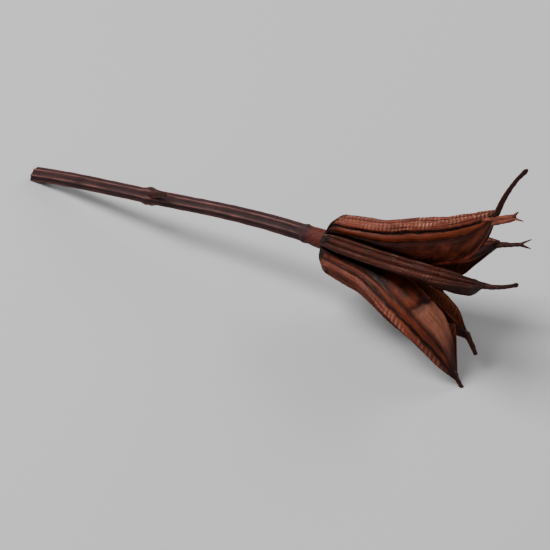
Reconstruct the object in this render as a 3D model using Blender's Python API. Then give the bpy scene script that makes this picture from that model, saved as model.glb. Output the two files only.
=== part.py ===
"""Dried nigella seed pod on its own cut stem, lying as picked.

The pod is one grown body: six follicles stand round one axis, joined for about half their length, and spread
apart above that. Each follicle is a flattened pouch with three ribs down its back, open along its inner seam
near the end, and drawn out into a horny beak. The stem is a ribbed stalk with a swollen receptacle at its top.

Local frame of the pod: +X runs up the pod's axis from the receptacle, and azimuths are measured round that
axis from straight up (+Z) towards -Y. Sizes are in millimetres, turned to metres when the meshes are made.
"""
import math
from dataclasses import dataclass

import bmesh
import bpy
from mathutils import Matrix, Vector

MM = 0.001

# Pod: the joined lower half
FOLLICLE_COUNT = 6
ROOT_AZIMUTH = -13.0          # degrees, azimuth of the first follicle where it is joined
SHOULDER_RISE = 2.4           # length over which the rounded bottom swells out
SHOULDER_RADIUS = 4.3         # distance from axis to back at the end of the shoulder
BODY_RADIUS = 6.3             # distance from axis to back where the follicles part
BODY_LENGTH = 13.0            # length of the joined part
BOTTOM_RADIUS = 1.75          # radius of the flat bottom that meets the receptacle
SPREAD_START = 0.28           # fraction of a follicle's length where it starts to lean out
SPREAD_POWER = 1.6            # how late the follicle leans out
SWING_START = 0.6 * BODY_LENGTH
SWING_POWER = 1.3             # how late the tip leans round the axis

# Follicle: its own cross-section, at full size
POUCH_DEPTH = 6.2             # from the back to the inner seam
TIP_DEPTH = 1.0               # the same at the root of the beak
DEPTH_TAPER_POWER = 0.8
BACK_WALL = 0.8               # wall under the ribs of the back
FLANK_WALL = 0.62             # wall of the flanks
LIP_EDGE = 0.06               # how far the inner face ends above the lip
SEAM_CLEARANCE = 0.25         # distance from axis to the seam in the joined part
PARTITION_OVERLAP = 0.12      # how far neighbouring flanks sink into each other
SEAM_SLIT = 0.06              # half the width of the hollow where the walls fill it
NECK_WIDTH = 0.72             # width at the bottom against the full width
NECK_LENGTH = 3.84            # length over which the width swells
TIP_WIDTH = 0.32              # width at the root of the beak against the full width
WIDTH_TAPER_START = 0.62      # fraction of the length where the width starts to shrink
WIDTH_TAPER_POWER = 1.6
SEAM_OPEN_START = 0.44        # fraction of the length where the seam opens
SEAM_OPEN_RISE = 0.34         # fraction of the length over which it opens fully
SEAM_CLOSE_END = 0.14         # fraction of the length over which it closes again at the tip
SEAM_GAP_CLOSED = 0.3         # width of the closed seam
SEAM_GAP_OPEN = 1.9           # width of the seam at its widest
OUTER_LIP_PUSH = 0.25         # fraction of the depth where the outer face starts to give way
INNER_LIP_PUSH = 0.1          # the same for the inner face

# Beaks and the torn points beside them
BEAK_ROOT_RADIUS = 0.52
BEAK_TIP_RADIUS = 0.34
BEAK_SIDES = 7
BEAK_STATIONS = 9
BEAK_SINK = 3.0               # length of the beak's root that lies in the follicle's back
BEAK_INSET = 0.58             # how far the beak's middle line lies in from the back
BEAK_EXIT = 0.3               # how far below the tip its free length starts
POINT_SIDES = 5
POINT_LENGTH = 1.6
POINT_ROOT = 0.5              # length of a point's root that lies in what it grows from
POINT_RADII = (0.33, 0.32, 0.30)
PRONG_LEAN = 34.0             # degrees between a prong and its beak
LIP_BACK = 2.6                # how far below the tip the torn lip starts
LIP_AHEAD = 3.1               # how far it reaches past the tip
LIP_RADII = (0.62, 0.50, 0.40)
LIP_LEANS = (-30.0, 26.0)     # degrees between its two points and itself
LIP_ROOT = (-0.9, 0.2)        # its root, out from the back and sideways
LIP_TIP = (0.5, 0.7)          # its end, out from the back at the tip and sideways
LIP_SAG = 0.25                # how far its middle sags
LIP_MIDDLE = 0.45             # fraction of its length where it sags most

# Core that holds the follicles together: distance up the axis and radius
CORE_SIDES = 18
CORE_PROFILE = (
    (0.0, BOTTOM_RADIUS - 0.05), (0.4, BOTTOM_RADIUS + 0.3), (1.4, 2.4), (3.2, 2.6),
    (6.0, 2.6), (10.5, 2.34), (14.6, 0.7),
)

# Stem and receptacle
STEM_LENGTH = 50.0
STEM_RIBS = 7
STEM_RIB_RISE = 0.085         # height of a rib as a part of the radius
STEM_POINTS_PER_RIB = 4
STEM_RADIUS_CUT = 1.02
STEM_RADIUS_TOP = 1.16
STEM_CUT_SLANT = 24.0         # degrees, slant of the cut at the far end
STEM_STATIONS = 24
STEM_PATH_STEPS = 96
JOINT_GAP = 0.3               # gap between the stem and the pod
COLLAR_PLACE = 3.3            # distance from the joint to the scar ring of the fallen petals
COLLAR_RISE = 0.14
COLLAR_LENGTH = 0.32
RECEPTACLE_RADIUS = 1.40
RECEPTACLE_LENGTH = 4.95      # distance from the joint where the stem has its shaft's radius
RIBS_START = 1.98             # distance from the joint where the ribs start
RIBS_RISE = 3.0               # length over which they rise
SHAFT_TAPER = 0.5             # fraction of the stem over which the shaft tapers
KNOT_PLACE = 29.0             # distance from the joint to the leaf knot
KNOT_RISE = 0.26
KNOT_LENGTH = 1.5
LEAF_STUB_LENGTH = 5.0
LEAF_STUB_RADIUS = 0.36
LEAF_STUB_SIDES = 6
LEAF_STUB_STEPS = 5
LEAF_STUB_SPREAD = (0.62, 0.12)   # how far it leans away from the stem, and how much of that it takes back
LEAF_STUB_REACH = 0.92        # how far it reaches along the stem, as a part of its length
LEAF_STUB_ROOT = 0.5          # distance from the stem's middle to where it starts
LEAF_STUB_SIDE = (0.8, -0.6)  # its way out of the stem, upwards and sideways
LEAF_STUB_TAPER = (1.25, 0.35)    # size of its root against its radius, and how much of that it loses
SWAY = ((2.6, 5.2), (-1.0, 11.0))   # degrees that the stem sways sideways, and how fast along its length
CUT_STRETCH = 0.07            # fraction of the stem over which its section leans into the cut

# Lying pose
POD_RISE = 3.0                # degrees, how much the pod's axis climbs towards its beaks
STEM_END_RISE = 16.4          # degrees, how much the stem climbs at its cut end
STEM_RISE_POWER = 0.8         # how early the stem takes up that climb
AXIS_HEIGHT = 9.60            # height of the pod's axis above the surface at the joint
CUTTER_SIZE = 200.0           # the block under the surface that flattens the low spots
SMOOTH_ANGLE = 50.0           # degrees, the sharpest edge that is shaded smooth


@dataclass(frozen=True)
class Follicle:
    """Sizes of one follicle, which differ a little from one to the next as the pod dried."""

    length: float             # along the pod's axis
    spread: float             # distance from axis to back at the tip
    swing: float              # degrees that the tip leans round the axis
    width: float              # width of the pouch against the usual one
    depth: float              # depth of the pouch against the usual one
    belly: float              # fraction of the length where the pouch starts to taper to its beak
    gap: float                # opening of the seam against the usual one
    beak: float               # length of the beak
    beak_bend: float          # degrees that the beak bends away from the axis over its length
    beak_kink: float          # degrees that it bends at its very root
    beak_swing: float         # degrees that it bends sideways
    prongs: int               # torn points at its end


FOLLICLES = (
    # Top one: its back and its near flank show
    Follicle(26.4, 14.2, 6.0, 1.00, 1.03, 0.82, 1.00, 10.0, -22.0, 40.0, 0.0, 0),
    # The one that faces the viewer
    Follicle(29.0, 10.8, -7.0, 0.72, 0.86, 0.74, 0.70, 5.8, -6.0, 0.0, 30.0, 0),
    # Near the surface, swung down to it: the pod rests on its beak
    Follicle(24.2, 12.2, 38.0, 1.00, 1.02, 0.84, 0.95, 2.5, 0.0, 22.0, 0.0, 0),
    # Underneath, near side
    Follicle(23.4, 6.9, -5.0, 0.85, 0.76, 0.64, 0.90, 3.2, 10.0, 44.0, 0.0, 0),
    # Underneath, far side, short: the pod rests on its tip too
    Follicle(17.8, 11.8, -27.0, 0.78, 0.74, 0.66, 0.90, 1.4, -14.0, -12.0, 0.0, 0),
    # Far side
    Follicle(21.9, 9.7, -8.0, 0.95, 1.00, 0.86, 1.10, 3.8, 10.0, 8.0, 4.0, 2),
)

# Half of the pouch's section as (distance in from the back, distance from the middle), at full size:
# the outer face from the middle rib over the side rib, a groove, a band beside it, a second groove and the
# flank to the lip, then the inner face back to the middle.
OUTER_SECTION = (
    (-0.14, 0.00), (0.10, 0.42), (0.06, 0.84), (-0.10, 1.16), (0.22, 1.42), (0.72, 1.28), (1.40, 1.58),
    (2.10, 1.50), (2.90, 1.80), (3.90, 1.87), (4.90, 1.62), (5.60, 1.26), (6.20, 0.80),
)
INNER_SECTION = (
    (6.12, 0.14), (5.30, 0.55), (4.20, 1.12), (2.80, 1.08), (1.50, 0.84), (0.88, 0.36), (0.80, 0.00),
)

# Stations along a follicle: fractions of the shoulder, a count in the middle, fractions of the tapered end
SHOULDER_STATIONS = (0.1, 0.22, 0.47, 1.0)
START_STATION = 0.04
START_STAGGER = 0.03           # millimetres, so that no two follicles start in one plane
MIDDLE_STATIONS = 7
END_STATIONS = (0.28, 0.52, 0.7, 0.84, 0.95)


def clear_scene() -> None:
    """Remove the objects that the scene starts with."""
    for thing in list(bpy.data.objects):
        bpy.data.objects.remove(thing, do_unlink=True)


def smoothstep(value: float) -> float:
    """Return a soft step from 0 to 1."""
    t = min(max(value, 0.0), 1.0)
    return t * t * (3.0 - 2.0 * t)


def back_radius(kind: Follicle, x: float) -> float:
    """Distance from the pod's axis to a follicle's back at the place x along the axis."""
    turn = 1.0 - min(x / SHOULDER_RISE, 1.0)
    shoulder = math.sqrt(1.0 - turn * turn)
    growth = (BODY_RADIUS - SHOULDER_RADIUS) * max(x - SHOULDER_RISE, 0.0) / (BODY_LENGTH - SHOULDER_RISE)
    swell = (SHOULDER_RADIUS - BOTTOM_RADIUS) * shoulder + min(growth, BODY_RADIUS - SHOULDER_RADIUS)
    lean = max(x / kind.length - SPREAD_START, 0.0) / (1.0 - SPREAD_START)
    return BOTTOM_RADIUS + swell + (kind.spread - BODY_RADIUS) * lean ** SPREAD_POWER


def pouch_depth(kind: Follicle, x: float) -> float:
    """Distance from the back to the inner seam at the place x."""
    reach = back_radius(kind, x) - SEAM_CLEARANCE
    end = max(x / kind.length - kind.belly, 0.0) / (1.0 - kind.belly)
    taper = max(1.0 - end * end, 0.0) ** DEPTH_TAPER_POWER
    return max(min(reach, POUCH_DEPTH * kind.depth) * taper, TIP_DEPTH)


def pouch_width(kind: Follicle, x: float) -> float:
    """Width of the pouch against its full width at the place x."""
    swell = NECK_WIDTH + (1.0 - NECK_WIDTH) * smoothstep(x / NECK_LENGTH)
    end = max(x / kind.length - WIDTH_TAPER_START, 0.0) / (1.0 - WIDTH_TAPER_START)
    return kind.width * swell * (1.0 - (1.0 - TIP_WIDTH) * end ** WIDTH_TAPER_POWER)


def seam_gap(kind: Follicle, x: float) -> float:
    """Width of the seam's opening at the place x."""
    place = x / kind.length
    rise = smoothstep((place - SEAM_OPEN_START) / SEAM_OPEN_RISE)
    fall = smoothstep((1.0 - place) / SEAM_CLOSE_END)
    return SEAM_GAP_CLOSED + (SEAM_GAP_OPEN * kind.gap - SEAM_GAP_CLOSED) * rise * fall


def azimuth_at(index: int, kind: Follicle, x: float) -> float:
    """Azimuth of a follicle's middle plane at the place x, in radians."""
    joined = ROOT_AZIMUTH + index * 360.0 / FOLLICLE_COUNT
    lean = max(x - SWING_START, 0.0) / (kind.length - SWING_START)
    return math.radians(joined + kind.swing * lean ** SWING_POWER)


def outward(azimuth: float) -> Vector:
    """Direction away from the pod's axis at an azimuth."""
    return Vector((0.0, -math.sin(azimuth), math.cos(azimuth)))


def sideways(azimuth: float) -> Vector:
    """Direction round the pod's axis at an azimuth."""
    return Vector((0.0, -math.cos(azimuth), -math.sin(azimuth)))


def around_axis(x: float, radial: float, lateral: float, azimuth: float) -> Vector:
    """Turn a place in a follicle's own plane into the pod's local frame, in metres."""
    return (Vector((x, 0.0, 0.0)) + outward(azimuth) * radial + sideways(azimuth) * lateral) * MM


def partition_limit(radial: float) -> float:
    """Distance from a follicle's middle plane to where its flank ends in its neighbour's."""
    return max(radial, 0.0) * math.tan(math.pi / FOLLICLE_COUNT) + PARTITION_OVERLAP


def follicle_stations(index: int, kind: Follicle) -> list[float]:
    """Places along the axis where a follicle's section is drawn, closer at both rounded ends."""
    middle_end = kind.belly * kind.length
    step = (middle_end - SHOULDER_RISE) / MIDDLE_STATIONS
    start = SHOULDER_RISE * START_STATION + START_STAGGER * (index % 3)
    shoulder = [start] + [SHOULDER_RISE * place for place in SHOULDER_STATIONS]
    middle = [SHOULDER_RISE + step * (i + 1) for i in range(MIDDLE_STATIONS)]
    end = [middle_end + (kind.length - middle_end) * place for place in END_STATIONS]
    return shoulder + middle + end


def outer_half(kind: Follicle, x: float) -> list[tuple[float, float]]:
    """Outer face of half a pouch at the place x, as distances from the axis and from the middle plane."""
    back = back_radius(kind, x)
    depth = pouch_depth(kind, x) / POUCH_DEPTH
    width = pouch_width(kind, x)
    push = 0.5 * (seam_gap(kind, x) - SEAM_GAP_CLOSED)
    half = []
    for inset, lateral in OUTER_SECTION:
        radial = back - inset * depth
        opened = lateral * width + push * smoothstep(inset / POUCH_DEPTH - OUTER_LIP_PUSH)
        half.append((radial, min(opened, partition_limit(radial))))
    return half


def half_width_at(half: list[tuple[float, float]], radial: float) -> float:
    """Distance from the middle plane to the outer face at a distance from the axis, read from the lip up."""
    for (low, near), (high, far) in zip(reversed(half), list(reversed(half))[1:]):
        if low <= radial <= high:
            return near + (far - near) * (radial - low) / (high - low)
    return half[-1][1]


def inner_half(kind: Follicle, x: float, outer: list[tuple[float, float]]) -> list[tuple[float, float]]:
    """Inner face of half a pouch at the place x, a wall's thickness inside the outer face."""
    back = back_radius(kind, x)
    reach = pouch_depth(kind, x) - LIP_EDGE - BACK_WALL
    width = pouch_width(kind, x)
    push = 0.5 * (seam_gap(kind, x) - SEAM_GAP_CLOSED)
    half = []
    for inset, lateral in INNER_SECTION:
        radial = back - BACK_WALL - (inset - BACK_WALL) / (POUCH_DEPTH - BACK_WALL) * reach
        opened = lateral * width + push * smoothstep(inset / POUCH_DEPTH - INNER_LIP_PUSH)
        slit = SEAM_SLIT * (0.5 + 0.5 * inset / POUCH_DEPTH)
        room = max(half_width_at(outer, radial) - FLANK_WALL, slit)
        half.append((radial, min(opened, room) if lateral else 0.0))
    return half


def section_points(index: int, kind: Follicle, x: float) -> list[Vector]:
    """The pouch's closed section at the place x: outer face, lip, inner face and the other lip."""
    azimuth = azimuth_at(index, kind, x)
    outer = outer_half(kind, x)
    half = outer + inner_half(kind, x, outer)
    other = [(radial, -lateral) for radial, lateral in reversed(half[1:-1])]
    return [around_axis(x, radial, lateral, azimuth) for radial, lateral in half + other]


def skin(shape: bmesh.types.BMesh, rings: list[list[Vector]]) -> list[list[bmesh.types.BMVert]]:
    """Join closed rings of equal length by bands of faces, and return the rings' vertices."""
    rows = [[shape.verts.new(point) for point in ring] for ring in rings]
    count = len(rings[0])
    for lower, upper in zip(rows, rows[1:]):
        for i in range(count):
            j = (i + 1) % count
            shape.faces.new((lower[i], lower[j], upper[j], upper[i]))
    return rows


def finish_body(shape: bmesh.types.BMesh, name: str) -> bpy.types.Object:
    """Turn a closed skin into an object whose faces point out."""
    bmesh.ops.recalc_face_normals(shape, faces=shape.faces[:])
    mesh = bpy.data.meshes.new(name)
    shape.to_mesh(mesh)
    shape.free()
    body = bpy.data.objects.new(name, mesh)
    bpy.context.scene.collection.objects.link(body)
    return body


def loft(name: str, rings: list[list[Vector]]) -> bpy.types.Object:
    """Skin closed round rings into one closed body, capped at both ends."""
    shape = bmesh.new()
    rows = skin(shape, rings)
    for row in (rows[0], rows[-1]):
        shape.faces.new(row)
    return finish_body(shape, name)


def cap_wall(shape: bmesh.types.BMesh, outer: list, inner: list, levels: tuple[list, list]) -> None:
    """Close the end of one wall by triangles that zip its outer line to its inner one, from back to lip."""
    near, far = 0, 0
    while near < len(outer) - 1 or far < len(inner) - 1:
        take_outer = far == len(inner) - 1
        if near < len(outer) - 1 and far < len(inner) - 1:
            take_outer = levels[0][near + 1] <= levels[1][far + 1]
        third = outer[near + 1] if take_outer else inner[far + 1]
        shape.faces.new((outer[near], third, inner[far]))
        near += take_outer
        far += not take_outer


def make_follicle(index: int, kind: Follicle) -> bpy.types.Object:
    """One follicle's pouch as a closed shell that is open along its seam."""
    rings = [section_points(index, kind, x) for x in follicle_stations(index, kind)]
    shape = bmesh.new()
    rows = skin(shape, rings)
    last_outer = len(OUTER_SECTION)
    last = last_outer + len(INNER_SECTION) - 1
    levels = ([inset for inset, _ in OUTER_SECTION], [inset for inset, _ in reversed(INNER_SECTION)])
    for row in (rows[0], rows[-1]):
        mirrored = [row[0]] + row[:last:-1]
        for half in (row[:last + 1], mirrored + [row[last]]):
            cap_wall(shape, half[:last_outer], half[:last_outer - 1:-1], levels)
    return finish_body(shape, f"follicle_{index + 1}")


def tube(name: str, points: list[Vector], radii: list[float], sides: int) -> bpy.types.Object:
    """A round tapering rod through points, with closed ends. Points are in metres, radii in millimetres."""
    rings = []
    guide = Vector((0.0, 0.0, 1.0))
    for i, point in enumerate(points):
        ahead = (points[min(i + 1, len(points) - 1)] - points[max(i - 1, 0)]).normalized()
        if abs(ahead.dot(guide)) > 0.95:
            guide = Vector((0.0, 1.0, 0.0))
        first = (guide - ahead * guide.dot(ahead)).normalized()
        second = ahead.cross(first)
        guide = first
        turns = [2.0 * math.pi * k / sides for k in range(sides)]
        rings.append([point + (first * math.cos(t) + second * math.sin(t)) * radii[i] * MM for t in turns])
    return loft(name, rings)


def beak_path(index: int, kind: Follicle) -> list[Vector]:
    """Points of a beak's middle line: it leaves along the follicle's back and then bends."""
    start = kind.length - BEAK_SINK
    root = [start, 0.5 * (start + kind.length), kind.length - BEAK_EXIT]
    points = []
    for x in root:
        points.append(around_axis(x, back_radius(kind, x) - BEAK_INSET, 0.0, azimuth_at(index, kind, x)))
    out = outward(azimuth_at(index, kind, kind.length))
    along = (points[-1] - points[-2]).normalized()
    side = along.cross(out).normalized()
    steps = BEAK_STATIONS - len(root)
    heading = Matrix.Rotation(math.radians(kind.beak_kink), 3, side) @ along
    for _ in range(steps):
        points.append(points[-1] + heading * (kind.beak / steps) * MM)
        heading = Matrix.Rotation(math.radians(kind.beak_bend / steps), 3, side) @ heading
        heading = Matrix.Rotation(math.radians(kind.beak_swing / steps), 3, out) @ heading
    return points


def make_point(name: str, tip: Vector, ahead: Vector, hinge: Vector, lean: float) -> bpy.types.Object:
    """One torn point that leaves a tip at an angle in degrees, turned about the hinge."""
    heading = Matrix.Rotation(math.radians(lean), 3, hinge) @ ahead
    root = tip - ahead * POINT_ROOT * MM
    line = [root + heading * POINT_LENGTH * part * MM for part in (0.0, 0.5, 1.0)]
    return tube(name, line, list(POINT_RADII), POINT_SIDES)


def make_beak(index: int, kind: Follicle) -> list[bpy.types.Object]:
    """A follicle's beak and the torn points at its end."""
    points = beak_path(index, kind)
    taper = (BEAK_ROOT_RADIUS - BEAK_TIP_RADIUS) / (len(points) - 1)
    radii = [BEAK_ROOT_RADIUS - taper * i for i in range(len(points))]
    parts = [tube(f"beak_{index + 1}", points, radii, BEAK_SIDES)]
    ahead = (points[-1] - points[-2]).normalized()
    hinge = ahead.cross(sideways(azimuth_at(index, kind, kind.length))).normalized()
    for prong in range(kind.prongs):
        lean = PRONG_LEAN * (2.0 * prong - (kind.prongs - 1))
        parts.append(make_point(f"prong_{index + 1}_{prong + 1}", points[-1], ahead, hinge, lean))
    return parts


def make_torn_lip(index: int, kind: Follicle) -> list[bpy.types.Object]:
    """The torn end of the seam's edge, which stands out beside the beak of the top follicle."""
    azimuth = azimuth_at(index, kind, kind.length)
    start = kind.length - LIP_BACK
    base = around_axis(start, back_radius(kind, start) + LIP_ROOT[0], LIP_ROOT[1], azimuth)
    end = kind.length + LIP_AHEAD
    tip = around_axis(end, back_radius(kind, kind.length) + LIP_TIP[0], LIP_TIP[1], azimuth)
    middle = base.lerp(tip, LIP_MIDDLE) - Vector((0.0, 0.0, LIP_SAG)) * MM
    parts = [tube("torn_lip", [base, middle, tip], list(LIP_RADII), POINT_SIDES + 1)]
    ahead = (tip - middle).normalized()
    for lean in LIP_LEANS:
        parts.append(make_point("torn_point", tip, ahead, Vector((0.0, -1.0, 0.0)), lean))
    return parts


def make_core() -> bpy.types.Object:
    """The solid middle of the joined part, from the flat bottom up to where the follicles part."""
    turns = [2.0 * math.pi * k / CORE_SIDES for k in range(CORE_SIDES)]
    rings = [[around_axis(x, radius, 0.0, turn) for turn in turns] for x, radius in CORE_PROFILE]
    return loft("pod", rings)


def apply_modifiers(target: bpy.types.Object) -> None:
    """Replace an object's mesh by what its modifiers make of it."""
    bpy.context.view_layer.update()
    graph = bpy.context.evaluated_depsgraph_get()
    result = bpy.data.meshes.new_from_object(target.evaluated_get(graph), depsgraph=graph)
    target.modifiers.clear()
    old = target.data
    target.data = result
    bpy.data.meshes.remove(old)


def join_collection(target: bpy.types.Object, parts: list[bpy.types.Object]) -> None:
    """Fuse parts into the target with one Boolean union, apply it and remove the parts."""
    group = bpy.data.collections.new(f"{target.name}_parts")
    bpy.context.scene.collection.children.link(group)
    for part in parts:
        group.objects.link(part)
        bpy.context.scene.collection.objects.unlink(part)
    union = target.modifiers.new("join", "BOOLEAN")
    union.operation = "UNION"
    union.operand_type = "COLLECTION"
    union.collection = group
    union.solver = "EXACT"
    apply_modifiers(target)
    for part in parts:
        bpy.data.objects.remove(part, do_unlink=True)
    bpy.data.collections.remove(group)


def flatten_low_spots(target: bpy.types.Object) -> None:
    """Cut off what would reach below the surface, which leaves small flat spots to rest on."""
    shape = bmesh.new()
    bmesh.ops.create_cube(shape, size=CUTTER_SIZE * MM)
    mesh = bpy.data.meshes.new("surface_cut")
    shape.to_mesh(mesh)
    shape.free()
    cutter = bpy.data.objects.new("surface_cut", mesh)
    cutter.location = (0.0, 0.0, -0.5 * CUTTER_SIZE * MM)
    cutter.hide_render = True
    cutter.display_type = "WIRE"
    bpy.context.scene.collection.objects.link(cutter)
    cut = target.modifiers.new("flatten", "BOOLEAN")
    cut.operation = "DIFFERENCE"
    cut.object = cutter
    cut.solver = "EXACT"
    apply_modifiers(target)
    bpy.data.objects.remove(cutter, do_unlink=True)
    bpy.data.meshes.remove(mesh)


def stem_path() -> list[tuple[Vector, Vector]]:
    """Middle line of the stem from the joint back to the cut end, as points and headings in metres."""
    place = Vector((-JOINT_GAP, 0.0, AXIS_HEIGHT - JOINT_GAP * math.sin(math.radians(POD_RISE))))
    stride = STEM_LENGTH / STEM_PATH_STEPS
    line = []
    for i in range(STEM_PATH_STEPS + 1):
        f = i / STEM_PATH_STEPS
        climb = math.radians(POD_RISE + (STEM_END_RISE - POD_RISE) * f ** STEM_RISE_POWER)
        sway = math.radians(sum(amount * math.sin(pace * f) for amount, pace in SWAY))
        heading = Vector((math.cos(climb) * math.cos(sway), math.sin(sway), math.sin(climb)))
        line.append((place * MM, heading))
        place = place - heading * stride
    return line


def stem_radius(distance: float) -> tuple[float, float]:
    """Radius of the stem at a distance from the joint, and how strongly it is ribbed there."""
    taper = smoothstep(distance / (SHAFT_TAPER * STEM_LENGTH))
    shaft = STEM_RADIUS_TOP + (STEM_RADIUS_CUT - STEM_RADIUS_TOP) * taper
    flare = (RECEPTACLE_RADIUS - shaft) * (1.0 - smoothstep(distance / RECEPTACLE_LENGTH))
    collar = COLLAR_RISE * math.exp(-((distance - COLLAR_PLACE) / COLLAR_LENGTH) ** 2)
    knot = KNOT_RISE * math.exp(-((distance - KNOT_PLACE) / (0.5 * KNOT_LENGTH)) ** 2)
    ribbing = smoothstep((distance - RIBS_START) / RIBS_RISE)
    return shaft + flare + collar + knot, ribbing


def stem_stations() -> list[float]:
    """Distances from the joint where the stem's section is drawn."""
    even = [STEM_LENGTH * i / STEM_STATIONS for i in range(1, STEM_STATIONS + 1)]
    collar = [COLLAR_PLACE + d for d in (-0.7, -0.3, 0.0, 0.3, 0.7)]
    knot = [KNOT_PLACE + d * KNOT_LENGTH for d in (-0.7, -0.35, 0.0, 0.35, 0.7)]
    kept = [d for d in even if all(abs(d - other) > 0.7 for other in collar + knot)]
    return sorted([0.0, 0.9] + collar + knot + kept)


def path_at(line: list[tuple[Vector, Vector]], distance: float) -> tuple[Vector, Vector]:
    """Point and heading of the stem's middle line at a distance from the joint."""
    return line[round(distance / STEM_LENGTH * (len(line) - 1))]


def make_leaf_stub(line: list[tuple[Vector, Vector]]) -> bpy.types.Object:
    """The broken foot of a thread-like leaf on the stem's knot."""
    place, heading = path_at(line, KNOT_PLACE)
    side = Vector((0.0, 0.0, 1.0)).cross(heading).normalized()
    up, across = LEAF_STUB_SIDE
    out = (heading.cross(side) * up + side * across).normalized()
    root = place + out * LEAF_STUB_ROOT * MM
    points = []
    radii = []
    lean, droop = LEAF_STUB_SPREAD
    thick, loss = LEAF_STUB_TAPER
    for step in range(LEAF_STUB_STEPS + 1):
        f = step / LEAF_STUB_STEPS
        reach = heading * f * LEAF_STUB_REACH + out * (lean * f - droop * f * f)
        points.append(root + reach * LEAF_STUB_LENGTH * MM)
        radii.append(LEAF_STUB_RADIUS * (thick - loss * f))
    return tube("leaf_stub", points, radii, LEAF_STUB_SIDES)


def make_stem() -> bpy.types.Object:
    """The ribbed stem with its receptacle, collar, leaf knot and slanted cut."""
    line = stem_path()
    count = STEM_RIBS * STEM_POINTS_PER_RIB
    rings = []
    for distance in stem_stations():
        place, heading = path_at(line, distance)
        radius, ribbing = stem_radius(distance)
        side = Vector((0.0, 0.0, 1.0)).cross(heading).normalized()
        up = heading.cross(side)
        near_cut = smoothstep((distance / STEM_LENGTH - 1.0 + CUT_STRETCH) / CUT_STRETCH)
        slant = math.tan(math.radians(STEM_CUT_SLANT)) * near_cut
        ring = []
        for k in range(count):
            turn = 2.0 * math.pi * k / count
            rib = 1.0 + STEM_RIB_RISE * ribbing * math.cos(STEM_RIBS * turn)
            offset = (side * math.cos(turn) + up * math.sin(turn)) * radius * rib * MM
            ring.append(place + offset + heading * slant * math.sin(turn) * radius * MM)
        rings.append(ring)
    stem = loft("stem", rings)
    join_collection(stem, [make_leaf_stub(line)])
    return stem


def make_pod() -> bpy.types.Object:
    """The whole pod: follicles, beaks and core fused into one body, laid in its pose."""
    pod = make_core()
    parts = []
    for index, kind in enumerate(FOLLICLES):
        parts.append(make_follicle(index, kind))
        parts += make_beak(index, kind)
    parts += make_torn_lip(0, FOLLICLES[0])
    join_collection(pod, parts)
    lift = Matrix.Translation((0.0, 0.0, AXIS_HEIGHT * MM))
    pod.data.transform(lift @ Matrix.Rotation(-math.radians(POD_RISE), 4, "Y"))
    return pod


def principled(name: str, colour: tuple[float, float, float, float], roughness: float) -> bpy.types.Material:
    """A plain material with a colour and a roughness."""
    material = bpy.data.materials.new(name)
    material.use_nodes = True
    shader = material.node_tree.nodes["Principled BSDF"]
    shader.inputs["Base Color"].default_value = colour
    shader.inputs["Roughness"].default_value = roughness
    shader.inputs["Metallic"].default_value = 0.0
    material.diffuse_color = colour
    return material


def husk_material() -> bpy.types.Material:
    """Dyed dried husk of the pod: deep red-brown with a satin face."""
    return principled("dyed_husk", (0.145, 0.034, 0.014, 1.0), 0.42)


def stalk_material() -> bpy.types.Material:
    """Dyed dried stalk: a duller brown."""
    return principled("dyed_stalk", (0.105, 0.033, 0.019, 1.0), 0.55)


def centre_on_origin(things: list[bpy.types.Object]) -> None:
    """Move the pieces so that the origin is under the middle of their common box, on the surface."""
    corners = [vertex.co for thing in things for vertex in thing.data.vertices]
    low = [min(corner[axis] for corner in corners) for axis in range(3)]
    high = [max(corner[axis] for corner in corners) for axis in range(3)]
    shift = Vector((-0.5 * (low[0] + high[0]), -0.5 * (low[1] + high[1]), -low[2]))
    for thing in things:
        thing.data.transform(Matrix.Translation(shift))


def finish_surface(thing: bpy.types.Object, material: bpy.types.Material) -> None:
    """Shade a piece smooth up to an edge angle and give it its material."""
    thing.data.materials.clear()
    thing.data.materials.append(material)
    thing.data.shade_smooth()
    thing.data.set_sharp_from_angle(angle=math.radians(SMOOTH_ANGLE))


def main() -> None:
    """Build the two pieces of the object."""
    clear_scene()
    pod = make_pod()
    stem = make_stem()
    for piece in (pod, stem):
        flatten_low_spots(piece)
    centre_on_origin([pod, stem])
    finish_surface(pod, husk_material())
    finish_surface(stem, stalk_material())


main()
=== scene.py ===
"""Looks of a dried nigella seed pod that lies on its cut stem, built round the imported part.

The pod is a head of six papery follicles with horny beaks. Each is lofted from one section that runs from
the rib on its back over grooves and flank to the open seam, and Geometry Nodes give it the relief that it
dried into.
"""
import logging
import math
from collections.abc import Callable
from dataclasses import dataclass
from enum import Enum
from functools import partial, reduce
from typing import ClassVar

import bmesh
import bpy
import numpy as np
from mathutils import Matrix, Vector


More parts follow.
